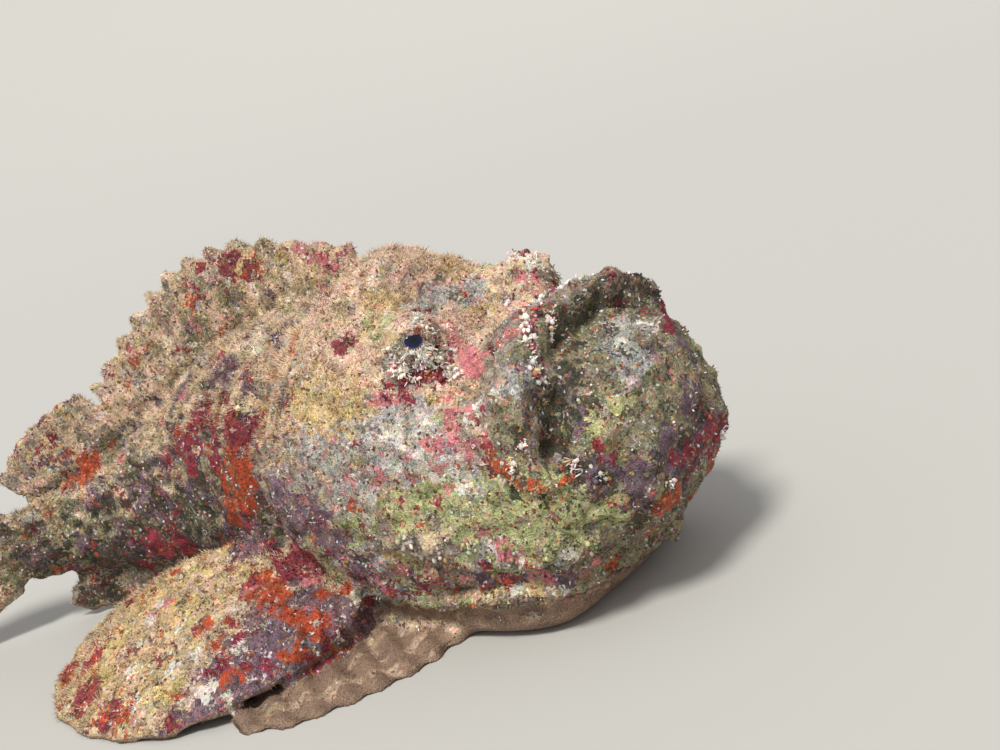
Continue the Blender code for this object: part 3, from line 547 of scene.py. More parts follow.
# %% Patches of pigment
# Each patch is (pixel across, pixel down, radius in millimetres)
PATCHES = {
    "crimson": [
        (225, 397, 4), (194, 426, 6), (184, 443, 6), (213, 436, 7), (254, 424, 5), (170, 462, 4),
        (218, 460, 5), (155, 547, 8), (145, 564, 6), (300, 550, 7), (248, 527, 3), (131, 603, 3),
        (228, 567, 3), (252, 584, 3), (92, 661, 5), (73, 666, 5), (85, 700, 7), (170, 724, 4),
        (199, 727, 3), (230, 621, 3), (242, 639, 3), (220, 671, 4), (322, 664, 5), (420, 372, 4),
        (437, 378, 4), (405, 381, 4), (398, 392, 4), (503, 245, 3), (520, 252, 3), (537, 312, 2),
        (531, 330, 2), (535, 357, 2), (708, 413, 3), (719, 429, 4), (704, 440, 3), (690, 452, 4),
        (676, 457, 3), (719, 462, 4), (671, 325, 4), (605, 449, 3), (484, 564, 3), (534, 566, 3),
        (228, 265, 5), (248, 272, 4), (340, 348, 3), (352, 340, 3), (287, 388, 3), (310, 560, 7),
        (270, 545, 5), (190, 450, 6), (180, 545, 7), (372, 596, 4), (395, 590, 3), (660, 300, 3),
        (668, 316, 3), (690, 474, 3), (205, 412, 6), (240, 445, 5), (216, 470, 5), (232, 425, 6),
        (262, 442, 4), (250, 462, 4), (192, 468, 4), (90, 690, 5), (108, 716, 5), (66, 650, 4),
        (714, 448, 4), (330, 640, 4), (290, 566, 5), (525, 452, 3),
    ],
    "orange": [
        (225, 482, 5), (228, 495, 5), (240, 496, 6), (242, 462, 5), (233, 508, 5), (208, 445, 3),
        (87, 470, 6), (75, 487, 5), (222, 420, 4), (279, 598, 5), (267, 581, 5), (273, 590, 5),
        (281, 608, 4), (310, 625, 5), (206, 625, 4), (218, 647, 3), (288, 654, 3), (342, 649, 4),
        (230, 680, 4), (124, 719, 4), (347, 588, 4), (676, 498, 3), (671, 506, 4), (649, 532, 3),
        (616, 565, 3), (558, 480, 2), (518, 483, 2), (540, 487, 2), (429, 577, 3), (490, 451, 2),
        (508, 476, 2), (450, 590, 3), (324, 592, 4), (300, 655, 3), (320, 618, 4), (420, 331, 1),
        (425, 330, 1.2), (430, 329, 1), (663, 505, 3), (232, 470, 5), (246, 480, 5), (236, 520, 4),
        (228, 452, 4), (530, 487, 2), (566, 474, 2), (500, 468, 2), (446, 392, 2), (264, 606, 4),
        (296, 616, 5), (92, 668, 3), (70, 680, 3), (130, 700, 3), (254, 596, 4),
    ],
    "pink": [
        (450, 328, 4), (455, 338, 4), (463, 347, 5), (472, 357, 5), (480, 368, 4), (509, 333, 3),
        (501, 341, 3), (460, 396, 2), (470, 412, 2), (443, 427, 2), (525, 275, 3), (518, 270, 2),
        (535, 272, 2), (657, 346, 2), (660, 357, 2), (671, 372, 2), (303, 252, 4), (318, 258, 4),
        (333, 266, 4), (505, 553, 4), (380, 392, 4), (160, 603, 4), (470, 345, 3), (310, 580, 4),
        (250, 590, 4), (520, 333, 2), (455, 400, 3), (388, 404, 3), (456, 440, 4), (432, 447, 3),
        (470, 452, 3), (452, 416, 3), (442, 462, 3), (402, 402, 3), (420, 412, 2), (410, 478, 3),
        (446, 484, 3), (378, 478, 3), (400, 572, 4), (432, 584, 4), (466, 583, 3), (385, 584, 4),
        (504, 580, 3), (545, 577, 3), (590, 566, 3),
    ],
    "mauve": [
        (310, 516, 10), (279, 496, 7), (330, 540, 9), (360, 570, 8), (250, 545, 7), (145, 494, 9),
        (160, 510, 7), (120, 530, 5), (75, 625, 6), (185, 385, 8), (220, 370, 8), (599, 479, 7),
        (676, 457, 7), (640, 475, 6), (665, 440, 5), (569, 388, 4), (577, 424, 4), (575, 410, 5),
        (640, 500, 6), (695, 400, 6), (690, 350, 5), (690, 470, 6), (700, 440, 6), (655, 296, 4),
        (675, 318, 4), (640, 287, 3), (255, 515, 6), (290, 530, 8), (415, 580, 4), (448, 586, 4),
        (485, 582, 4), (525, 578, 4), (566, 573, 4), (382, 600, 5),
    ],
    "green": [
        (545, 506, 10), (503, 501, 9), (435, 501, 9), (407, 517, 8), (566, 534, 9), (577, 506, 8),
        (470, 605, 4), (594, 416, 5), (619, 402, 5), (569, 328, 3), (446, 413, 4), (520, 540, 9),
        (470, 530, 9), (385, 325, 4), (372, 318, 4), (182, 537, 4), (7, 630, 7), (610, 510, 7),
        (550, 407, 4), (560, 430, 4), (636, 500, 5),
    ],
    "straw": [
        (330, 410, 9), (313, 407, 7), (345, 425, 8), (351, 400, 6), (300, 395, 6), (345, 440, 6),
        (390, 560, 5), (610, 430, 6), (620, 445, 5), (560, 320, 3), (565, 345, 3), (150, 600, 8),
        (120, 640, 8), (180, 610, 7), (100, 680, 8), (170, 690, 6), (380, 300, 7), (400, 310, 5),
        (550, 505, 5), (590, 425, 5), (575, 440, 4), (500, 594, 4), (540, 591, 4), (584, 583, 4),
        (612, 571, 4),
    ],
    "olive": [
        (104, 516, 9), (73, 545, 9), (116, 547, 6), (34, 535, 9), (15, 567, 9), (206, 516, 8),
        (201, 545, 8), (136, 465, 9), (111, 448, 8), (60, 520, 9), (600, 360, 8), (640, 410, 7),
        (620, 380, 9), (230, 300, 7), (200, 335, 8), (640, 365, 7), (512, 399, 5), (500, 430, 5),
        (532, 402, 5), (520, 425, 6),
    ],
    "grey": [
        (512, 385, 5), (528, 385, 4), (407, 413, 8), (457, 470, 9), (396, 457, 9), (421, 440, 10),
        (619, 333, 8), (627, 353, 7), (375, 440, 9), (340, 460, 8), (310, 455, 8), (360, 500, 8),
        (440, 455, 9), (470, 295, 6), (440, 300, 5), (560, 560, 4), (340, 230, 5),
    ],
    "pale": [
        (545, 298, 2), (538, 304, 2), (531, 342, 2), (534, 369, 2), (561, 283, 2), (418, 320, 3),
        (410, 325, 2), (443, 350, 2), (421, 358, 3), (402, 358, 2), (449, 372, 2), (509, 257, 3),
        (528, 256, 3), (534, 262, 3), (182, 622, 3), (160, 603, 3), (235, 608, 2), (196, 654, 3),
        (238, 649, 3), (262, 654, 2), (145, 642, 3), (131, 671, 3), (206, 690, 4), (225, 707, 3),
        (247, 683, 2), (136, 702, 3), (150, 620, 3), (170, 670, 3), (400, 440, 3), (430, 427, 3),
        (452, 470, 3), (395, 468, 2), (416, 456, 3), (472, 422, 2), (482, 402, 2), (386, 430, 3),
        (438, 480, 2), (466, 488, 3), (500, 395, 2), (620, 340, 3), (606, 350, 2), (604, 408, 2),
        (520, 594, 3), (562, 589, 3), (412, 548, 3), (440, 560, 2), (480, 548, 3), (515, 560, 2),
        (575, 553, 3),
    ],
    "peach": [
        (415, 252, 12), (445, 262, 9), (390, 264, 10), (365, 285, 9), (345, 262, 8), (330, 300, 8),
        (465, 280, 6), (300, 330, 8), (270, 320, 7), (345, 340, 8), (160, 390, 9), (120, 400, 8),
        (240, 345, 7), (200, 400, 4), (450, 450, 5), (430, 472, 5), (482, 440, 4), (340, 470, 7),
        (310, 440, 6),
    ],
    # Dark patches are partly the fish's own dark skin and partly painted shade: in the mouth's slit and
    # corner, in the groove round the chin's dome, along the chin's lower edge and in the hollow above
    # the pectoral fin
    "dark": [
        (550, 430, 4), (552, 412, 4), (560, 372, 3), (562, 392, 3), (599, 296, 5), (612, 300, 4),
        (627, 284, 3), (654, 300, 4), (672, 322, 4), (560, 445, 3), (556, 400, 3), (116, 547, 5),
        (160, 500, 5), (580, 305, 3), (100, 560, 6), (520, 440, 4), (505, 430, 3), (580, 470, 4),
        (590, 400, 3), (640, 520, 5), (610, 490, 4), (578, 345, 3), (588, 318, 3), (625, 300, 3),
        (645, 308, 3), (660, 326, 3), (575, 375, 3), (545, 400, 3), (548, 420, 4), (553, 440, 4),
        (557, 392, 4), (566, 410, 4), (564, 430, 4), (612, 283, 3), (627, 281, 3), (645, 289, 3),
        (660, 303, 3), (672, 316, 3), (700, 400, 4), (688, 470, 5), (704, 452, 4), (682, 440, 4),
        (150, 540, 6), (110, 590, 6), (90, 600, 6), (172, 560, 5), (566, 470, 3), (540, 498, 3),
        (515, 492, 3),
    ],
}
FULLEST = 0.72  # how much of a pigment the middle of its patch has
PATCH_FULL, PATCH_END = 0.4, 1.8  # where it starts to fade and where it is gone, in radii
WOBBLE, FINE_WOBBLE = 3.2, 1.4  # how far noise carries a patch's edge, in millimetres
VIEW_SLACK = 2 * MM

points = read_points(skin.data)
normals = read_normals(skin.data)
seen = surface_tree(skin.data)
wobble = np.stack([field(7.0, seed, 3) for seed in (11, 12, 13)], axis=1)
wobble_fine = np.stack([field(2.6, seed, 2) for seed in (14, 15, 16)], axis=1)
warped = points + (wobble * WOBBLE + wobble_fine * FINE_WOBBLE) * MM


def in_view(point):
    """Whether the photograph shows a point of the skin."""
    hit = seen.ray_cast(camera.location, (point - camera.location).normalized())[0]
    return hit is not None and (hit - point).length < VIEW_SLACK


def with_repeat(x, y):
    """The skin's point at a pixel, and its repeat on the other side, except where the photograph
    shows that side and what it has there."""
    hit = on_skin(x, y)
    if hit is None:
        return []
    repeat = other_side(hit)
    return [hit] if in_view(repeat) else [hit, repeat]


def patch_strength(spots):
    """How strongly a pigment covers each point, from its patches."""
    strength = np.zeros(len(points))
    for x, y, radius in spots:
        for centre in with_repeat(x, y):
            gap = np.linalg.norm(warped - np.array(centre), axis=1) / (radius * MM)
            strength = np.maximum(strength, FULLEST * step(PATCH_END, PATCH_FULL, gap))
    return strength


pigments = {name: patch_strength(spots) for name, spots in PATCHES.items()}
print("patches:", {name: len(spots) for name, spots in PATCHES.items()})

# %% Broad fields of pigment
# A field is 1 on one part of the fish and fades to 0 at its edges. Each cover line names a
# pigment and how much of it a field has, and clouds of noise break it up.
CLOUD_SIZES = {21: 16.0, 22: 12.0, 23: 14.0, 24: 10.0, 25: 22.0}  # in millimetres, by their seeds
topside = step(0.1, 0.6, normals[:, 2])
flank = step(110.0, 140.0, back) * (1 - finness) * (1 - topside)
cheek = (1 - topside) * step(140.0, 115.0, back) * step(30.0, 48.0, back) * (1 - finness)
low_cheek = step(62.0, 40.0, up) * cheek
jaw = step(40.0, 26.0, back) * (1 - finness)
clouds = {seed: field(size, seed, 3) for seed, size in CLOUD_SIZES.items()}
hidden_side = step(-5.0, 20.0, across)


def cover(name, amount):
    """Raises a pigment to at least an amount."""
    pigments[name] = np.maximum(pigments[name], amount)


# The turf of tan algae: on the back, on the nape and on the fins
turf = topside * 0.7 + 0.25 * clouds[25] + 0.3 * step(120, 160, back) * step(60, 90, up) + 0.2
turf = step(0.25, 0.65, turf) * step(38.0, 60.0, back)
turf = np.maximum(turf, finness * (1 - pelvic) * step(-0.45, 0.2, clouds[21] + 0.15))
pigments["turf"] = turf * 0.95
fin_web = finness * paired * (1 - pelvic)
front_web = fin_web * step(150.0, 118.0, back)
rear_web = fin_web - front_web
nape = turf * step(110.0, 90.0, back)
long_turf = (turf - nape) * (1 - fin_web)
cover("straw", 0.4 * turf * step(-0.1, 0.35, clouds[24]))
# Grey, mauve and dark clouds on the long turf are partly its own colours and partly painted shade
# between its masses
cover("grey", 0.42 * long_turf * step(-0.1, 0.3, -clouds[22]))
cover("mauve", 0.48 * long_turf * step(0.0, 0.4, -clouds[22]))
cover("dark", 0.2 * long_turf)
cover("peach", 0.55 * nape)
cover("peach", 0.4 * long_turf * step(0.0, 0.4, clouds[22]))
# Pale on the nape is partly painted light, as the nape faces up to the lamp
cover("pale", 0.2 * nape)
cover("pink", 0.25 * nape)
# The pectoral fins
cover("mauve", 0.75 * front_web)
cover("grey", 0.5 * front_web * step(-0.2, 0.3, clouds[24]))
cover("straw", 0.42 * rear_web)
cover("dark", 0.25 * rear_web)
cover("orange", 0.25 * rear_web)
cover("pale", 0.35 * (turf - rear_web) * step(0.1, 0.45, clouds[22]))
# The cheeks
cover("straw", 0.4 * cheek * step(-0.1, 0.4, clouds[24]))
cover("grey", 0.5 * cheek * step(-0.25, 0.3, clouds[25]))
cover("pink", 0.38 * (cheek - low_cheek) * step(-0.2, 0.3, clouds[21]))
cover("pale", 0.36 * (cheek - low_cheek) * step(0.3, -0.2, clouds[22]))
# The jaws
cover("grey", 0.35 * jaw * step(-0.3, 0.3, clouds[21]))
cover("olive", 0.7 * jaw)
cover("straw", 0.35 * jaw * step(-0.2, 0.3, clouds[24]))
cover("dark", 0.4 * jaw * step(-0.3, 0.3, -clouds[22]))
cover("mauve", 0.35 * jaw * step(-0.2, 0.3, clouds[22]))
# The low cheeks and the flanks
cover("green", 0.6 * low_cheek * step(-0.3, 0.25, clouds[21]))
cover("dark", 0.25 * low_cheek)
cover("olive", 0.75 * flank * step(-0.1, 0.3, clouds[22]))
cover("mauve", 0.8 * flank * step(0.1, -0.3, clouds[22]))
# Dark over the whole flank: partly the fish's own colour, partly painted shade below the back
cover("dark", 0.5 * flank)
# Spots of crust, all over
speckled = (0.75 + 0.25 * hidden_side) * (1 - bare) * (1 - 0.5 * nape) * (1 - 0.4 * jaw)
cover("crimson", 0.22 * (1 - bare) * (1 - topside))
cover("orange", 0.15 * (1 - bare))
cover("pink", 0.18 * (1 - bare) * step(140.0, 110.0, back))
cover("crimson", 0.6 * speckled * step(0.2, 0.5, clouds[23]))
cover("orange", 0.55 * speckled * step(0.38, 0.58, clouds[24]))
cover("pink", 0.5 * speckled * step(0.35, 0.55, -clouds[23]) * (1 - flank))
# The belly, the pelvic fins and the undersides of the others have smooth flesh, and the creases get
# painted shade.
smooth_flesh = np.maximum(bare, step(14.0, 7.0, up) * step(0.25, -0.15, normals[:, 2]) * (1 - finness))
smooth_flesh = np.maximum(smooth_flesh, finness * paired * step(-0.1, -0.4, normals[:, 2]))
pigments["smooth"] = smooth_flesh * (1 - 0.6 * pelvic * step(0.1, -0.3, clouds[24]))
# Painted shade, laid where the folds and creases sink deepest
pigments["pit"] = 0.5 * step(-1.2, -3.2, height) * (1 - near_eye)
print({name: round(float(values.mean()), 3) for name, values in pigments.items()})


def set_value(mesh, name, values):
    attribute = mesh.attributes.new(name, "FLOAT", "POINT")
    attribute.data.foreach_set("value", values.astype(np.float32))


def set_vector(mesh, name, values):
    attribute = mesh.attributes.new(name, "FLOAT_VECTOR", "POINT")
    attribute.data.foreach_set("vector", values.astype(np.float32).ravel())


for name, values in pigments.items():
    set_value(skin.data, name, values)

# %% [markdown]
# ## Colours
#
# One function turns sRGB hex colours into the linear values that the
# shader works in. Another adds one node to a material with its settings and links. The markings
# are built by one function for every material, so that skin and coat always agree. They are made
# of granules, as a crust is: each granule is a cell of a Voronoi pattern about a millimetre wide,
# and has three numbers of its own. One sets its shade, one helps to decide which pigment it
# belongs to, and one makes a few granules straw, rust, black or white. Wider cells, three
# millimetres across, are the single plants and animals of the crust: they share a tint, and most
# often a pigment.

# %% Colour and node helpers


def linear(code):
    """An sRGB hex colour as linear RGBA."""
    channels = [int(code[i : i + 2], 16) / 255 for i in (1, 3, 5)]
    curve = [c / 12.92 if c <= 0.04045 else ((c + 0.055) / 1.055) ** 2.4 for c in channels]
    return (*curve, 1.0)


def add(tree, kind, inputs=None, **settings):
    """Adds a shader node, sets it up, and links or fills its inputs."""
    node = tree.nodes.new("ShaderNode" + kind)
    for key, value in settings.items():
        setattr(node, key, value)
    for key, value in (inputs or {}).items():
        if isinstance(value, bpy.types.NodeSocket):
            tree.links.new(value, node.inputs[key])
        else:
            node.inputs[key].default_value = value
    return node


# %% Pigments
# Each pigment's dark and light shade. The first lie in granules and cells, in this order over each
# other, and the others in smooth blots over them.
GRANULAR = (
    ("turf", "#7c6048", "#f2d6b4"),
    ("peach", "#a68268", "#fadcc4"),
    ("straw", "#8c7040", "#ead096"),
    ("olive", "#3c382a", "#a29a78"),
    ("grey", "#67635e", "#d2ccc6"),
    ("green", "#64663c", "#d6d69c"),
    ("mauve", "#33222c", "#86697a"),
    ("dark", "#191a14", "#504c38"),
    ("pink", "#984a56", "#ea9094"),
    ("crimson", "#380e1e", "#a82a42"),
    ("orange", "#642610", "#d65424"),
    ("pale", "#a99c8e", "#fbf4ea"),
)
BLOTTED = (
    ("smooth", "#523c38", "#aa8a70"),
    # The second blot is painted shade in the skin's creases
    ("pit", "#1c1b10", "#403c22"),
)
GROUND = ("#54483e", "#b8a896")
# Granules whose own number is above the first value have this colour instead of their pigment's.
# The white ones are partly grains of sand and partly painted glints of the wet skin.
ODD_GRANULES = ((0.90, "#c4a454"), (0.92, "#9c3a34"), (0.94, "#2a251e"), (0.98, "#f6f2ec"))
ODD_STRENGTH, ODD_EDGE = 0.7, 0.01
print("pigments:", [name for name, _, _ in GRANULAR + BLOTTED])

# %% The grain of the markings
GRANULE_MM, CELL_MM, WARP_MM, MOTTLE_MM, GRIT_MM = 0.8, 3.0, 1.6, 5.0, 0.5
TINTED, BRIGHTEST = 0.14, 1.1  # how strongly cells and granules are tinted, and the tint's white
SPREAD = 0.32  # how far chance carries a pigment past its own amount
CLUSTERING = 1.2  # how much more the cells decide about it than the granules
# A pigment covers from the first value to the second, and at most as much as the third says
GRAIN_COVERS, BLOT_COVERS = (0.78, 0.9, 0.93), (0.62, 0.92, 0.95)
# What a shade is made of: its grit, its cell and its granule, with the mottle as one
GRIT_SHARE, CELL_SHARE, GRANULE_SHARE = 2.0, 0.6, 0.7
SHADE_RANGE, SOFT_RANGE = (1.35, 2.95), (1.0, 2.0)
RAGGED_SHARE, RAGGED_REACH = 0.25, 0.5  # how granules and grit break the edge of a blot


def marked_colour(tree, place):
    """The colour of the fish's markings at a place, and the granule's own shade. A Mix node's
    inputs 0, 6 and 7 are its factor and two colours, and its output 2 is a colour. A Map Range
    node's inputs are a value, the range that it has and the range that it gets."""
    colours = {"data_type": "RGBA"}
    sum_up = {"operation": "MULTIPLY_ADD"}
    eased = {"interpolation_type": "SMOOTHSTEP"}

    granule = {"Vector": place, "Scale": 1 / (GRANULE_MM * MM)}
    granule = add(tree, "TexVoronoi", granule, feature="F1").outputs["Color"]
    own = add(tree, "SeparateColor", {"Color": granule}).outputs
    bend = {"Vector": place, "Scale": 1 / (CELL_MM * MM), "Detail": 2.0}
    bend = add(tree, "TexNoise", bend).outputs["Color"]
    bent = add(tree, "VectorMath", {0: bend, 1: [WARP_MM * MM] * 3, 2: place}, **sum_up).outputs[0]
    cell = {"Vector": bent, "Scale": 1 / (CELL_MM * MM)}
    cell = add(tree, "TexVoronoi", cell, feature="F1").outputs["Color"]
    shared = add(tree, "SeparateColor", {"Color": cell}).outputs
    mottle = {"Vector": place, "Scale": 1 / (MOTTLE_MM * MM), "Detail": 4.0}
    mottle = add(tree, "TexNoise", mottle).outputs["Fac"]
    grit = {"Vector": place, "Scale": 1 / (GRIT_MM * MM), "Detail": 2.0}
    grit = add(tree, "TexNoise", grit).outputs["Fac"]

    soft = add(tree, "Math", {0: grit, 1: GRIT_SHARE, 2: mottle}, **sum_up).outputs[0]
    shade = add(tree, "Math", {0: shared[0], 1: CELL_SHARE, 2: soft}, **sum_up).outputs[0]
    shade = add(tree, "Math", {0: own[0], 1: GRANULE_SHARE, 2: shade}, **sum_up).outputs[0]
    shade = add(tree, "MapRange", {0: shade, 1: SHADE_RANGE[0], 2: SHADE_RANGE[1]}).outputs[0]
    soft = add(tree, "MapRange", {0: soft, 1: SOFT_RANGE[0], 2: SOFT_RANGE[1]}).outputs[0]

    colour = {0: shade, 6: linear(GROUND[0]), 7: linear(GROUND[1])}
    colour = add(tree, "Mix", colour, **colours).outputs[2]
    start, full, most = GRAIN_COVERS
    for k, (name, dark, light) in enumerate(GRANULAR):
        amount = add(tree, "Attribute", attribute_name=name).outputs["Fac"]
        # Each pigment gets its own chance at a granule and at a cell
        single = add(tree, "Math", {0: own[1], 1: 5.3 + k, 2: 0.37 * k}, **sum_up).outputs[0]
        single = add(tree, "Math", {0: single}, operation="FRACT").outputs[0]
        common = add(tree, "Math", {0: shared[1], 1: 4.7 + k, 2: 0.61 * k}, **sum_up).outputs[0]
        common = add(tree, "Math", {0: common}, operation="FRACT").outputs[0]
        chance = add(tree, "Math", {0: common, 1: CLUSTERING, 2: single}, **sum_up).outputs[0]
        chance = add(tree, "Math", {0: chance, 1: SPREAD, 2: amount}, **sum_up).outputs[0]
        covers = {0: chance, 1: start, 2: full, 3: 0.0, 4: most}
        covers = add(tree, "MapRange", covers, **eased).outputs[0]
        tone = add(tree, "Mix", {0: shade, 6: linear(dark), 7: linear(light)}, **colours).outputs[2]
        colour = add(tree, "Mix", {0: covers, 6: colour, 7: tone}, **colours).outputs[2]
    for start, code in ODD_GRANULES:
        odd = {0: own[2], 1: start, 2: start + ODD_EDGE, 3: 0.0, 4: ODD_STRENGTH}
        odd = add(tree, "MapRange", odd).outputs[0]
        colour = add(tree, "Mix", {0: odd, 6: colour, 7: linear(code)}, **colours).outputs[2]
    for tint in (cell, granule):
        tint = {0: TINTED, 6: (BRIGHTEST, BRIGHTEST, BRIGHTEST, 1.0), 7: tint}
        tint = add(tree, "Mix", tint, **colours).outputs[2]
        tinted = {0: 1.0, 6: colour, 7: tint}
        colour = add(tree, "Mix", tinted, blend_type="MULTIPLY", **colours).outputs[2]

    ragged = add(tree, "Math", {0: own[0], 1: RAGGED_SHARE, 2: soft}, **sum_up).outputs[0]
    start, full, most = BLOT_COVERS
    for name, dark, light in BLOTTED:
        amount = add(tree, "Attribute", attribute_name=name).outputs["Fac"]
        reach = add(tree, "Math", {0: ragged, 1: RAGGED_REACH, 2: amount}, **sum_up).outputs[0]
        covers = {0: reach, 1: start, 2: full, 3: 0.0, 4: most}
        covers = add(tree, "MapRange", covers, **eased).outputs[0]
        tone = add(tree, "Mix", {0: soft, 6: linear(dark), 7: linear(light)}, **colours).outputs[2]
        colour = add(tree, "Mix", {0: covers, 6: colour, 7: tone}, **colours).outputs[2]
    return colour, shade


# %% [markdown]
# ## The skin's material
#
# Wet fish skin under a film of algae and grit: rough, with a faint gloss. The bump gives it the
# grain of crusted skin, which is finer than the mesh.

# %% Crusted fish skin


def new_material(name):
    material = bpy.data.materials.new(name)
    material.use_nodes = True
    material.node_tree.nodes.clear()
    return material, material.node_tree


def crusted_skin():
    material, tree = new_material("crusted_fish_skin")
    place = add(tree, "TexCoord").outputs["Object"]
    colour, shade = marked_colour(tree, place)
    bump = add(tree, "Bump", {"Height": shade, "Strength": 0.9, "Distance": 0.7 * MM})
    shader = add(
        tree,
        "BsdfPrincipled",
        {"Base Color": colour, "Roughness": 0.66, "Specular IOR Level": 0.4, "Normal": bump.outputs[0]},
    )
    add(tree, "OutputMaterial", {"Surface": shader.outputs[0]})
    return material


skin.data.materials.clear()
skin.data.materials.append(crusted_skin())
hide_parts(*FLESH)
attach(skin, "root")
print("skin triangles:", sum(len(f.vertices) - 2 for f in skin.data.polygons))

# %% [markdown]
# ## Eyes
#
# A stonefish's eyes are small, dark glassy balls in warty knobs. The solid eye is a coarse ball,
# so a finer one takes its place. The pupil is a dark violet oval that nearly fills the opening
# between the lids, and the iris round it has pale spokes. Two numbers at each point say where it
# lies on the iris: how far from the pupil's middle, and at which angle round it.

# %% Eyeballs
PUPIL_RAISED = math.radians(3)  # how far the pupil lies above the middle of the opening
PUPIL_HEIGHT = math.radians(25)  # from the pupil's middle to its upper edge
PUPIL_WIDTH = 1.15  # as a share of its height
BEHIND = 9.0  # stands for any distance on the ball's hidden half
SPOKES = 22


def eye_material():
    """Cornea over a dark violet pupil and a spoked iris: as glossy as wet glass."""
    material, tree = new_material("wet_eye")
    colours = {"data_type": "RGBA"}
    off_axis = add(tree, "Attribute", attribute_name="off_axis").outputs["Fac"]
    spoke = add(tree, "Attribute", attribute_name="spoke").outputs["Fac"]
    wave = add(tree, "Math", {0: spoke, 1: float(SPOKES)}, operation="MULTIPLY").outputs[0]
    wave = add(tree, "Math", {0: wave}, operation="SINE").outputs[0]
    spoked = add(tree, "MapRange", {0: wave, 1: -0.6, 2: 0.8}).outputs[0]
    iris = {0: spoked, 6: linear("#3a2218"), 7: linear("#e9d9b8")}
    iris = add(tree, "Mix", iris, **colours).outputs[2]
    off_centre = add(tree, "MapRange", {0: off_axis, 1: 0.1, 2: 0.9}).outputs[0]
    violet = {0: off_centre, 6: linear("#07060f"), 7: linear("#1c1838")}
    violet = add(tree, "Mix", violet, **colours).outputs[2]
    at_rim = add(tree, "MapRange", {0: off_axis, 1: 0.86, 2: 0.98}).outputs[0]
    violet = add(tree, "Mix", {0: at_rim, 6: violet, 7: linear("#5e5788")}, **colours).outputs[2]
    past_rim = add(tree, "MapRange", {0: off_axis, 1: 1.0, 2: 1.08}).outputs[0]
    colour = add(tree, "Mix", {0: past_rim, 6: violet, 7: iris}, **colours).outputs[2]
    # The gloss is all in the coat, which is the cornea
    cornea = {"Specular IOR Level": 0.0, "Coat Weight": 0.8, "Coat Roughness": 0.03}
    shader = add(tree, "BsdfPrincipled", {"Base Color": colour, "Roughness": 0.25, **cornea})
    add(tree, "OutputMaterial", {"Surface": shader.outputs[0]})
    return material


wet_eye = eye_material()
for node, (centre, look) in EYES.items():
    turn = look.to_track_quat("Z", "Y").to_euler()
    bpy.ops.object.select_all(action="DESELECT")
    bpy.ops.mesh.primitive_uv_sphere_add(
        segments=48, ring_count=32, radius=EYE_RADIUS, rotation=turn, location=centre
    )
    ball = bpy.context.active_object
    ball.name = ball.data.name = node + "_ball"
    bpy.ops.object.transform_apply(location=True, rotation=True, scale=True)
    ball.data.shade_smooth()
    upward = upward_of(look)
    pupil_axis = look * math.cos(PUPIL_RAISED) + upward * math.sin(PUPIL_RAISED)
    pupil_top = (upward - pupil_axis * upward.dot(pupil_axis)).normalized()
    pupil_side = pupil_axis.cross(pupil_top)
    outward = (read_points(ball.data) - np.array(centre)) / EYE_RADIUS
    rise, aside, facing = (outward @ np.array(axis) for axis in (pupil_top, pupil_side, pupil_axis))
    oval = np.hypot(aside / PUPIL_WIDTH, rise) / math.sin(PUPIL_HEIGHT)
    set_value(ball.data, "off_axis", np.where(facing > 0, oval, BEHIND))
    set_value(ball.data, "spoke", np.arctan2(rise, aside))
    ball.data.materials.append(wet_eye)
    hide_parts(node)
    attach(ball, "root")
    print(ball.name, len(ball.data.polygons), "faces, radius", round(EYE_RADIUS / MM, 1), "mm")

# %% [markdown]
# ## The coat
#
# Three kinds of small thing grow on the skin: soft filaments of algae, crumbs of crust and grit,
# and pale lobes of skin. Each is modelled once, with a few faces, and laid over the skin
# thousands of times. numpy does the laying, because a loop in Python would take minutes. Every
# tuft takes the pigments of the skin at its root.

# %% One filament, one crumb, one lobe


def model_of(obj):
    """The points and triangles of a small model. The model itself is removed."""
    obj.data.calc_loop_triangles()
    corners = read_points(obj.data)
    triangles = np.array([t.vertices[:] for t in obj.data.loop_triangles])
    bpy.data.objects.remove(obj)
    return corners, triangles


bpy.ops.object.select_all(action="DESELECT")
bpy.ops.mesh.primitive_cone_add(vertices=3, radius1=0.5, radius2=0.0, depth=1.0, location=(0, 0, 0.5))
bpy.ops.object.transform_apply(location=True, rotation=True, scale=True)
FILAMENT = model_of(bpy.context.active_object)

bpy.ops.object.select_all(action="DESELECT")
bpy.ops.mesh.primitive_cone_add(vertices=4, radius1=0.5, radius2=0.0, depth=0.5, location=(0, 0, 0.25))
bpy.ops.object.transform_apply(location=True, rotation=True, scale=True)
bpy.ops.object.mode_set(mode="EDIT")
bpy.ops.mesh.select_all(action="DESELECT")
bpy.ops.mesh.select_face_by_sides(number=4, type="EQUAL")
bpy.ops.mesh.poke(offset=0.5)
bpy.ops.object.mode_set(mode="OBJECT")
CRUMB = model_of(bpy.context.active_object)

bpy.ops.object.select_all(action="DESELECT")
bpy.ops.mesh.primitive_circle_add(vertices=5, radius=0.4, fill_type="NGON")
bpy.ops.object.mode_set(mode="EDIT")
bpy.ops.mesh.select_all(action="SELECT")
for ring_up, ring_wide in ((0.45, 1.3), (0.4, 0.75)):
    bpy.ops.mesh.extrude_region_move(TRANSFORM_OT_translate={"value": (0, 0, ring_up)})
    bpy.ops.transform.resize(value=(ring_wide, ring_wide, 1.0), center_override=(0, 0, 0))
bpy.ops.mesh.poke(offset=0.15)
bpy.ops.mesh.select_all(action="SELECT")
bpy.ops.mesh.normals_make_consistent(inside=False)
bpy.ops.object.mode_set(mode="OBJECT")
LOBE = model_of(bpy.context.active_object)
for title, (corners, triangles) in (("filament", FILAMENT), ("crumb", CRUMB), ("lobe", LOBE)):
    print(title, len(corners), "points,", len(triangles), "triangles")

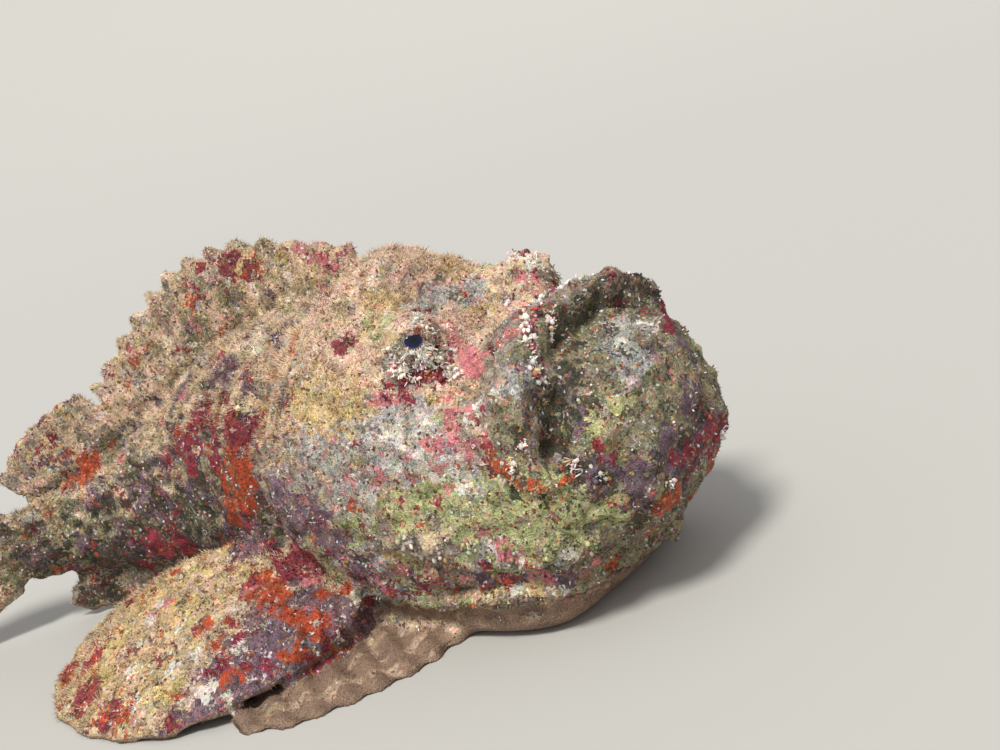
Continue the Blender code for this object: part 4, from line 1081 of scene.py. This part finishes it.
# %% Roots on the skin
skin.data.calc_loop_triangles()
count = len(skin.data.loop_triangles)
face_points = np.empty(count * 3, dtype=np.int32)
face_loops = np.empty(count * 3, dtype=np.int32)
skin.data.loop_triangles.foreach_get("vertices", face_points)
skin.data.loop_triangles.foreach_get("loops", face_loops)
face_points, face_loops = face_points.reshape(-1, 3), face_loops.reshape(-1, 3)
flat_uv = np.empty(len(skin.data.loops) * 2)
skin.data.uv_layers["OFBake"].uv.foreach_get("vector", flat_uv)
face_uv = flat_uv.reshape(-1, 2)[face_loops]
point_uv = np.zeros((len(points), 2))
point_uv[face_points.ravel()] = face_uv.reshape(-1, 2)
edge_a = points[face_points[:, 1]] - points[face_points[:, 0]]
edge_b = points[face_points[:, 2]] - points[face_points[:, 0]]
face_area = np.linalg.norm(np.cross(edge_a, edge_b), axis=1) / 2
SKIN_VALUES = {**pigments, "back": back, "finness": finness}
finder = finder_over(points)
print("area of the skin, square metres:", round(float(face_area.sum()), 3))


def unit(vectors):
    return vectors / np.maximum(np.linalg.norm(vectors, axis=1, keepdims=True), 1e-9)


def scatter(amount, weight, rng):
    """Roots for tufts, spread by weight: a dict of their places, normals, unwrap and values."""
    chance = face_area * weight[face_points].mean(axis=1)
    face = rng.choice(len(face_points), amount, p=chance / chance.sum())
    u, v = rng.random(amount), rng.random(amount)
    over = u + v > 1
    u[over], v[over] = 1 - u[over], 1 - v[over]
    share = np.stack([1 - u - v, u, v], axis=1)
    at_corners = {name: values[face_points[face]] for name, values in SKIN_VALUES.items()}
    roots = {name: (values * share).sum(axis=1) for name, values in at_corners.items()}
    roots["place"] = (points[face_points[face]] * share[:, :, None]).sum(axis=1)
    roots["normal"] = unit((normals[face_points[face]] * share[:, :, None]).sum(axis=1))
    roots["uv"] = (face_uv[face] * share[:, :, None]).sum(axis=1)
    return roots


def roots_at(places):
    """Roots at the points of the skin nearest to some places."""
    nearest = np.array([finder.find(Vector(p))[1] for p in places])
    roots = {name: values[nearest] for name, values in SKIN_VALUES.items()}
    roots["place"], roots["normal"], roots["uv"] = points[nearest], normals[nearest], point_uv[nearest]
    return roots


# %% Meshes from tufts
SUNK = 0.25 * MM  # how deep a tuft's foot stands in the skin
UV_PATCH = 0.0015  # half the size of a tuft's patch in the baked picture
MOST_TRIANGLES = 190_000
coat_triangles = 0


def lay(model, roots, ahead, side, size):
    """The points of a model at many roots. ahead and side give its up and its wide direction, and
    size its width, thickness and length in millimetres."""
    corners = model[0]
    side = unit(side - ahead * (side * ahead).sum(axis=1, keepdims=True))
    axes = np.stack([side, np.cross(ahead, side), ahead], axis=1) * (size * MM)[:, :, None]
    foot = roots["place"] - roots["normal"] * SUNK
    shape = foot[:, None] + np.einsum("ki,nij->nkj", corners, axes)
    shape[:, :, 2] = np.maximum(shape[:, :, 2], 0.0)
    return shape


def pieces_from(name, model, shape, roots, material, faceted=False):
    """Joins tufts into pieces of fewer than 200,000 triangles, from the head to the tail."""
    global coat_triangles
    corners, triangles = model
    tip = (corners[:, 2] - corners[:, 2].min()) / np.ptp(corners[:, 2])
    patch = corners[:, :2] / np.abs(corners[:, :2]).max() * (1 - 0.8 * tip)[:, None]
    order = np.argsort(roots["back"])
    most = MOST_TRIANGLES // len(triangles)
    for part, start in enumerate(range(0, len(order), most)):
        chosen = order[start : start + most]
        faces = (triangles[None] + (np.arange(len(chosen)) * len(corners))[:, None, None]).reshape(-1, 3)
        mesh = bpy.data.meshes.new(f"{name}_{part + 1}")
        mesh.vertices.add(len(chosen) * len(corners))
        mesh.vertices.foreach_set("co", shape[chosen].astype(np.float32).ravel())
        mesh.loops.add(len(faces) * 3)
        mesh.loops.foreach_set("vertex_index", faces.astype(np.int32).ravel())
        mesh.polygons.add(len(faces))
        mesh.polygons.foreach_set("loop_start", np.arange(0, len(faces) * 3, 3, dtype=np.int32))
        mesh.update(calc_edges=True)
        uv = (roots["uv"][chosen][:, None] + patch[None] * UV_PATCH).reshape(-1, 2)
        layer = mesh.uv_layers.new(name="OFBake")
        layer.uv.foreach_set("vector", uv[faces.ravel()].astype(np.float32).ravel())
        for key in [*pigments, "grain"]:
            set_value(mesh, key, np.repeat(roots[key][chosen], len(corners)))
        set_value(mesh, "tip", np.tile(tip, len(chosen)))
        set_vector(mesh, "root", np.repeat(roots["place"][chosen], len(corners), axis=0))
        if not faceted:
            mesh.shade_smooth()
        mesh.materials.append(material)
        obj = bpy.data.objects.new(mesh.name, mesh)
        bpy.context.scene.collection.objects.link(obj)
        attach(obj, "root")
        coat_triangles += len(faces)
        print(mesh.name, len(chosen), "tufts,", len(faces), "triangles")


# %% [markdown]
# ## The coat's material
#
# Algae are matt. Every tuft is painted darker at its root and lighter at its tip: painted shade low
# in the coat, and painted light where light passes through the tips. Tassels of skin have a soft
# gloss, and crumbs of crust are wet and glint. A tuft reads its markings at its root, so all of it
# has one colour, and its own grain number shifts its shade, as no two crumbs of crust are alike.

# %% Algae, crust and tassels
DARKEST_GRAIN, LIGHTEST_GRAIN = 0.78, 1.2


def growth(name, root_painted_shade, tip_painted_light, roughness):
    """A growth on the skin, whose brightness goes along each tuft from painted shade at its root to
    painted light at its tip.
    """
    material, tree = new_material(name)
    place = add(tree, "Attribute", attribute_name="root").outputs["Vector"]
    colour, _ = marked_colour(tree, place)
    grain = add(tree, "Attribute", attribute_name="grain").outputs["Fac"]
    tip = add(tree, "Attribute", attribute_name="tip").outputs["Fac"]
    # Painted shade at each tuft's root, and painted light at its tip
    along = add(tree, "MapRange", {0: tip, 1: 0.0, 2: 1.0, 3: root_painted_shade, 4: tip_painted_light}).outputs[0]
    own = {0: grain, 1: 0.0, 2: 1.0, 3: DARKEST_GRAIN, 4: LIGHTEST_GRAIN}
    own = add(tree, "MapRange", own).outputs[0]
    bright = add(tree, "Math", {0: along, 1: own}, operation="MULTIPLY").outputs[0]
    lit = {0: 1.0, 6: colour, 7: bright}
    colour = add(tree, "Mix", lit, data_type="RGBA", blend_type="MULTIPLY").outputs[2]
    finish = {"Base Color": colour, "Roughness": roughness, "Specular IOR Level": 0.5}
    shader = add(tree, "BsdfPrincipled", finish)
    add(tree, "OutputMaterial", {"Surface": shader.outputs[0]})
    return material


algae = growth("filament_algae", 0.85, 1.25, 0.85)
crust = growth("reef_crust", 0.9, 1.1, 0.3)
tassel_skin = growth("tassel_skin", 0.85, 1.15, 0.6)
print("coat materials:", algae.name, crust.name, tassel_skin.name)

# %% [markdown]
# ## Algae
#
# The algae grow in clumps a few millimetres across. In each clump the filaments lean away from
# its middle, and are longest there, which makes soft round cushions with dark gaps. On the back
# they are long, on the cheeks and jaws only a fuzz.

# %% Lay the algae
rng = np.random.default_rng(21)
FILAMENTS, CLUMPS, CLUMP_RADIUS = 205_000, 6_000, 2.6
LIE_BACK = np.array([0.0, 0.35, 0.0])
OUTWARD_LEAN, RANDOM_LEAN = 0.8, 0.5  # as shares of the way that the skin faces
CLUMP_LENGTHS, FILAMENT_LENGTHS = (0.6, 1.35), (0.6, 1.25)
THINNEST, THICKER_BY = 0.24, 0.1  # in millimetres
overgrown = (1 - pigments["smooth"]) * (1 - 0.5 * near_eye)
weight = overgrown * (1 - 0.5 * pigments["pit"]) * (0.6 + 0.5 * pigments["turf"] + 0.2 * topside)
clumps = scatter(CLUMPS, overgrown + 0.01, rng)
clump_finder = finder_over(clumps["place"])
clump_shade = rng.random(CLUMPS)
clump_length = rng.uniform(*CLUMP_LENGTHS, CLUMPS)

roots = scatter(FILAMENTS, weight, rng)
clump = np.array([clump_finder.find(Vector(p))[1] for p in roots["place"]])
aside = (roots["place"] - clumps["place"][clump]) / (CLUMP_RADIUS * MM)
far = np.linalg.norm(aside, axis=1)
aside /= np.maximum(far, 1.0)[:, None]
lie = LIE_BACK * step(60.0, 110.0, roots["back"])[:, None]
scattered = rng.normal(size=aside.shape) * RANDOM_LEAN
ahead = unit(roots["normal"] + aside * OUTWARD_LEAN + lie + scattered)
long = 0.85 + 0.2 * step(25.0, 60.0, roots["back"])
long = long + roots["turf"] * (0.4 + step(60.0, 100.0, roots["back"]))
cushion = (0.5 + 0.75 * np.exp(-(far**2))) * clump_length[clump]
long *= cushion * rng.uniform(*FILAMENT_LENGTHS, FILAMENTS)
long *= 1 - 0.3 * roots["finness"]
wide = THINNEST + THICKER_BY * rng.random(FILAMENTS)
print("length of the filaments, mm:", span(long))
roots["grain"] = 0.6 * clump_shade[clump] + 0.4 * rng.random(FILAMENTS)
shape = lay(FILAMENT, roots, ahead, rng.normal(size=ahead.shape), np.stack([wide, wide, long], axis=1))
pieces_from("algae", FILAMENT, shape, roots, algae)

# %% [markdown]
# ## Crumbs of crust
#
# Between the algae lie crumbs of coralline crust and grit, stuck to the skin's slime. They are
# thickest on the cheeks and jaws, and most of them are small.

# %% Lay the crumbs
CRUMBS = 62_000
SMALLEST, LARGER_BY, FEW_LARGE = 0.4, 0.75, 2.5  # a crumb's width, and a power that keeps most small
weight = (1 - pigments["smooth"]) * (1 - 0.35 * pigments["turf"]) * (1 - 0.3 * near_eye)
weight = weight * (1 + step(90.0, 60.0, back))
roots = scatter(CRUMBS, weight, rng)
roots["grain"] = rng.random(CRUMBS)
wide = SMALLEST + LARGER_BY * rng.random(CRUMBS) ** FEW_LARGE
ahead = unit(roots["normal"] + rng.normal(size=(CRUMBS, 3)) * 0.25)
size = wide[:, None] * rng.uniform(0.7, 1.3, size=(CRUMBS, 3))
shape = lay(CRUMB, roots, ahead, rng.normal(size=ahead.shape), size)
pieces_from("crust", CRUMB, shape, roots, crust, faceted=True)

# %% [markdown]
# ## Lobes and tassels of skin
#
# Pale and red lobes of skin ring the eyes and fringe the lips, a frill of them hangs along the
# jaw's folds, and small tufts of them stand all over the head. They break up the outline of the
# living fish. Each row is a line of places on the skin, and each place gets one lobe. A lobe's
# size is its width, thickness and length in millimetres. Its tints say how often it takes each
# pigment instead of the skin's own.

# %% One row of lobes
lobe_roots, lobe_ahead, lobe_size = [], [], []


def grow_lobes(places, towards, size, tints):
    """Adds a lobe of a size at each place, which leans from the skin's normal by towards."""
    size = np.array(size)
    roots = roots_at(places)
    amount = len(places)
    pick = rng.random(amount)
    for name, (low, high) in tints.items():
        chosen = (pick >= low) & (pick < high)
        for key in pigments:
            roots[key][chosen] = 0.0
        roots[name][chosen] = 1.0
    roots["grain"] = rng.random(amount)
    roots["side"] = np.gradient(places, axis=0) + rng.normal(size=(amount, 3)) * 1e-5
    lobe_roots.append(roots)
    lobe_ahead.append(unit(roots["normal"] + towards + rng.normal(size=(amount, 3)) * 0.25))
    scale = rng.uniform(0.7, 1.3, size=(amount, 1))
    lobe_size.append(size * scale * rng.uniform(0.8, 1.2, size=(amount, 3)))


def spaced(line, gap):
    """Points along a line, a gap in millimetres apart."""
    line = np.array([tuple(p) for p in line])
    lengths = np.linalg.norm(np.diff(line, axis=0), axis=1)
    along = np.concatenate([[0], np.cumsum(lengths)])
    at = np.arange(0, along[-1], gap * MM)
    return np.stack([np.interp(at, along, line[:, i]) for i in range(3)], axis=1)


# %% Lobes along the lips and the folds of the jaw
LIP_TINTS = {"pale": (0.0, 0.35), "crimson": (0.35, 0.6)}
RIM_TINTS = {"pale": (0.0, 0.12), "orange": (0.12, 0.5)}
FOLD_TINTS = {"smooth": (0.0, 0.6), "mauve": (0.6, 0.8)}
FRILL_TINTS = {"pale": (0.0, 0.55), "crimson": (0.55, 0.92)}
WHITE, RED = {"pale": (0.0, 0.92)}, {"crimson": (0.0, 0.95)}
UPPER_LIP_LOBE, LOWER_LIP_LOBE = (0.7, 0.5, 0.9), (0.6, 0.5, 0.8)
FRILL_LOBE, FRILL_TASSEL = (2.1, 1.3, 1.6), (0.4, 0.36, 1.8)
RIM_LOBE, FOLD_LOBE = (0.9, 0.5, 1.0), (2.6, 0.45, 1.3)
FRILL_TASSELS = 3  # by each lobe of the frill
DOWN = np.array([0.0, 0.0, -0.9])

for line in both_sides(UPPER_LIP):
    for row in (-0.8, 0.9):
        places = spaced(line, 1.2) + np.array([0.0, row, 0.0]) * MM
        grow_lobes(places, 0.0, UPPER_LIP_LOBE, LIP_TINTS)
# The frill is on the lip's nearer half only, because the other half has a clean outline
for row in (-0.3, 1.0):
    places = spaced(both_sides(UPPER_LIP)[0], 1.5) + np.array([0.0, row, 0.0]) * MM
    grow_lobes(places, 0.0, FRILL_LOBE, FRILL_TINTS)
    places = np.repeat(places, FRILL_TASSELS, axis=0)
    grow_lobes(places, rng.normal(size=places.shape), FRILL_TASSEL, WHITE)
for line in both_sides(LOWER_LIP):
    grow_lobes(spaced(line, 1.3), 0.0, LOWER_LIP_LOBE, LIP_TINTS)
for line in both_sides(JAW_RIM):
    grow_lobes(spaced(line, 1.2), DOWN * 0.4, RIM_LOBE, RIM_TINTS)
for line in both_sides(JAW_FOLD_EDGE):
    grow_lobes(spaced(line, 1.5), DOWN, FOLD_LOBE, FOLD_TINTS)
print("rows of lobes so far:", len(lobe_roots))

# %% Tassels in clusters
# Each cluster is the pixel where it stands and the length of its lobes in millimetres. White
# clusters have thin lobes and a few stout ones, and red ones have stout ones only.
TASSEL_LOBES, STOUT_LOBES = 14, 4
CLUSTER_SPREAD = 0.8 * MM
THIN_WIDTH, THIN_DEPTH, STOUT_LOBE = 0.42, 0.36, (1.8, 1.2, 1.0)
WHITE_TASSELS = (
    (563, 287, 1.6), (544, 297, 1.8), (537, 303, 1.8), (532, 343, 2.0), (535, 350, 1.6), (537, 369, 1.8),
    (541, 379, 1.6), (549, 318, 1.4), (551, 332, 1.4), (402, 372, 2.0), (421, 360, 1.8), (411, 367, 2.0),
    (430, 366, 1.8), (445, 373, 2.0), (453, 380, 1.8), (436, 358, 1.6), (418, 322, 1.4), (427, 325, 1.4),
    (513, 462, 2.0), (514, 474, 2.0), (573, 462, 2.2), (577, 470, 2.0), (669, 483, 2.0), (470, 340, 1.4),
    (514, 254, 1.8), (534, 256, 1.8), (505, 300, 1.4), (600, 478, 1.6), (520, 445, 1.4), (460, 300, 1.4),
    (400, 361, 2.0), (415, 378, 2.0), (425, 365, 2.2), (441, 362, 2.0), (449, 368, 2.0), (458, 374, 1.8),
    (396, 369, 1.8), (411, 357, 1.8), (433, 351, 1.8), (455, 352, 1.6),
)
RED_TASSELS = (
    (536, 311, 1.6), (532, 322, 1.6), (531, 332, 1.6), (536, 357, 1.6), (553, 289, 1.4), (426, 372, 1.4),
    (407, 380, 1.4), (437, 379, 1.4), (523, 253, 1.8), (449, 358, 1.2), (706, 415, 1.4), (716, 440, 1.4),
)
for tassels, tints in ((WHITE_TASSELS, WHITE), (RED_TASSELS, RED)):
    for x, y, long in tassels:
        for middle in with_repeat(x, y):
            places = np.array(middle) + rng.normal(size=(TASSEL_LOBES, 3)) * CLUSTER_SPREAD
            if tints is WHITE:
                leaning = rng.normal(size=places.shape) * 0.5
                grow_lobes(places, leaning, (THIN_WIDTH, THIN_DEPTH, long), tints)
            grow_lobes(places[:STOUT_LOBES], 0.0, STOUT_LOBE, tints)
print("rows and clusters so far:", len(lobe_roots))

# %% Ragged skin that hangs from the cheek's low edge
RAGS, RAG_LOBE, RAG_SPREAD = 14, (1.5, 0.9, 1.2), 2.0
RAG_TINTS = {"pale": (0.0, 0.1)}
for x, y, _ in MOUNDS:
    for middle in with_repeat(x, y):
        places = np.array(middle) + (rng.normal(size=(RAGS, 3)) * RAG_SPREAD + DOWN * RAG_SPREAD) * MM
        grow_lobes(places, DOWN * 0.7, RAG_LOBE, RAG_TINTS)
print("rows and clusters so far:", len(lobe_roots))

# %% Lobes round the eyes
# Each ring is how far its lobes stand from the eye's axis and along it, their width and length in
# millimetres, and how far they lean outwards. Spokes lie on the lower lid.
EYE_LOBES = 34
EYE_TINTS = {"pale": (0.0, 0.5), "crimson": (0.5, 0.8)}
EYE_RINGS = ((5.6, 5.0, 0.5, 1.2, 2.4), (7.2, 3.6, 1.2, 1.0, 1.0), (8.6, 1.5, 0.5, 1.3, 1.2))
SPOKE_REACH, SPOKE_OUT, SPOKE_LEAN, SPOKE_LOBE = 3.7, 5.7, 3.5, (0.36, 0.3, 2.4)
for centre, look in EYES.values():
    around = np.linspace(0, 2 * math.pi, EYE_LOBES, endpoint=False)
    around = around + rng.normal(size=EYE_LOBES) * 0.08
    side = look.orthogonal().normalized()
    top = look.cross(side)
    ring = np.cos(around)[:, None] * np.array(side) + np.sin(around)[:, None] * np.array(top)
    below = ring @ np.array(upward_of(look)) < 0.3
    for reach, out, wide, long, flat in EYE_RINGS:
        places = np.array(centre) + (ring * reach + np.array(look) * out) * MM
        grow_lobes(places[below], (ring * flat)[below], (wide, 0.8 * wide, long), EYE_TINTS)
    spokes = ring[below][::2]
    places = np.array(centre) + (spokes * SPOKE_REACH + np.array(look) * SPOKE_OUT) * MM
    grow_lobes(places, spokes * SPOKE_LEAN, SPOKE_LOBE, WHITE)
print("rows, clusters and rings so far:", len(lobe_roots))

# %% Stray tassels
STRAYS, STRAY_LOBES = 420, 4
STRAY_SPREAD, STRAY_LOBE = 0.6, (0.45, 0.4, 1.0)
STRAY_TINTS = {"pale": (0.0, 0.3), "crimson": (0.3, 0.4)}
weight = overgrown * (0.25 + step(120.0, 60.0, back)) * (1 - 0.8 * finness)
strays = scatter(STRAYS, weight, rng)
places = np.repeat(strays["place"], STRAY_LOBES, axis=0)
places = places + rng.normal(size=places.shape) * STRAY_SPREAD * MM
grow_lobes(places, 0.0, STRAY_LOBE, STRAY_TINTS)

# %% Join all the lobes
roots = {key: np.concatenate([row[key] for row in lobe_roots]) for key in lobe_roots[0]}
shape = lay(LOBE, roots, np.concatenate(lobe_ahead), roots["side"], np.concatenate(lobe_size))
pieces_from("skin_lobes", LOBE, shape, roots, tassel_skin)
print("coat:", coat_triangles, "triangles")

# %% [markdown]
# ## Floor, backdrop and lights
#
# The fish lies on a pale floor that curves up all round into a low backdrop, with an even pale sky
# above it. A large soft lamp far away lights it from above and beside the camera, and the sky
# fills the shadows.

# %% Floor
FLOOR_RADIUS, RIM_RADIUS, RIM_STEPS = 1.6, 7.0, 10
RIM_TILT = math.radians(32)  # a steeper rim would look grey, because the lamp wouldn't reach it

bpy.ops.object.select_all(action="DESELECT")
bpy.ops.mesh.primitive_circle_add(vertices=96, radius=FLOOR_RADIUS, fill_type="NGON")
floor = bpy.context.active_object
floor.name = floor.data.name = "studio_floor"
bpy.ops.object.mode_set(mode="EDIT")
bpy.ops.mesh.select_all(action="SELECT")
for k in range(RIM_STEPS):
    a, b = (RIM_TILT * j / RIM_STEPS for j in (k, k + 1))
    rise = RIM_RADIUS * (math.cos(a) - math.cos(b))
    grow = (FLOOR_RADIUS + RIM_RADIUS * math.sin(b)) / (FLOOR_RADIUS + RIM_RADIUS * math.sin(a))
    bpy.ops.mesh.extrude_region_move(TRANSFORM_OT_translate={"value": (0, 0, rise)})
    bpy.ops.transform.resize(value=(grow, grow, 1), center_override=(0, 0, 0))
bpy.ops.mesh.delete(type="ONLY_FACE")
bpy.ops.mesh.select_all(action="SELECT")
bpy.ops.mesh.flip_normals()
bpy.ops.object.mode_set(mode="OBJECT")
floor.data.shade_smooth()
pale_floor, floor_tree = new_material("pale_studio_floor")
paint = add(floor_tree, "BsdfPrincipled", {"Base Color": linear("#b5b0aa"), "Roughness": 0.8})
add(floor_tree, "OutputMaterial", {"Surface": paint.outputs[0]})
floor.data.materials.append(pale_floor)
looks = [round(v, 2) for v in floor.data.polygons[0].normal]
print("floor faces:", len(floor.data.polygons), "the first looks", looks)

# %% Light
LIGHT_FROM = Vector((-0.52, -0.10, 0.90))
sun_data = bpy.data.lights.new("soft_sun", "SUN")
sun_data.energy = 3.2
sun_data.angle = math.radians(15)
sun_data.color = linear("#fcfffa")[:3]
sun = bpy.data.objects.new("soft_sun", sun_data)
sun.rotation_euler = LIGHT_FROM.to_track_quat("Z", "Y").to_euler()
bpy.context.scene.collection.objects.link(sun)
world = bpy.data.worlds.new("studio")
world.use_nodes = True
world.node_tree.nodes["Background"].inputs["Color"].default_value = linear("#e8ecf0")
world.node_tree.nodes["Background"].inputs["Strength"].default_value = 0.75
bpy.context.scene.world = world
bpy.context.scene.view_settings.view_transform = "Standard"
print("lamp from", [round(v, 2) for v in LIGHT_FROM], "strength", sun_data.energy)
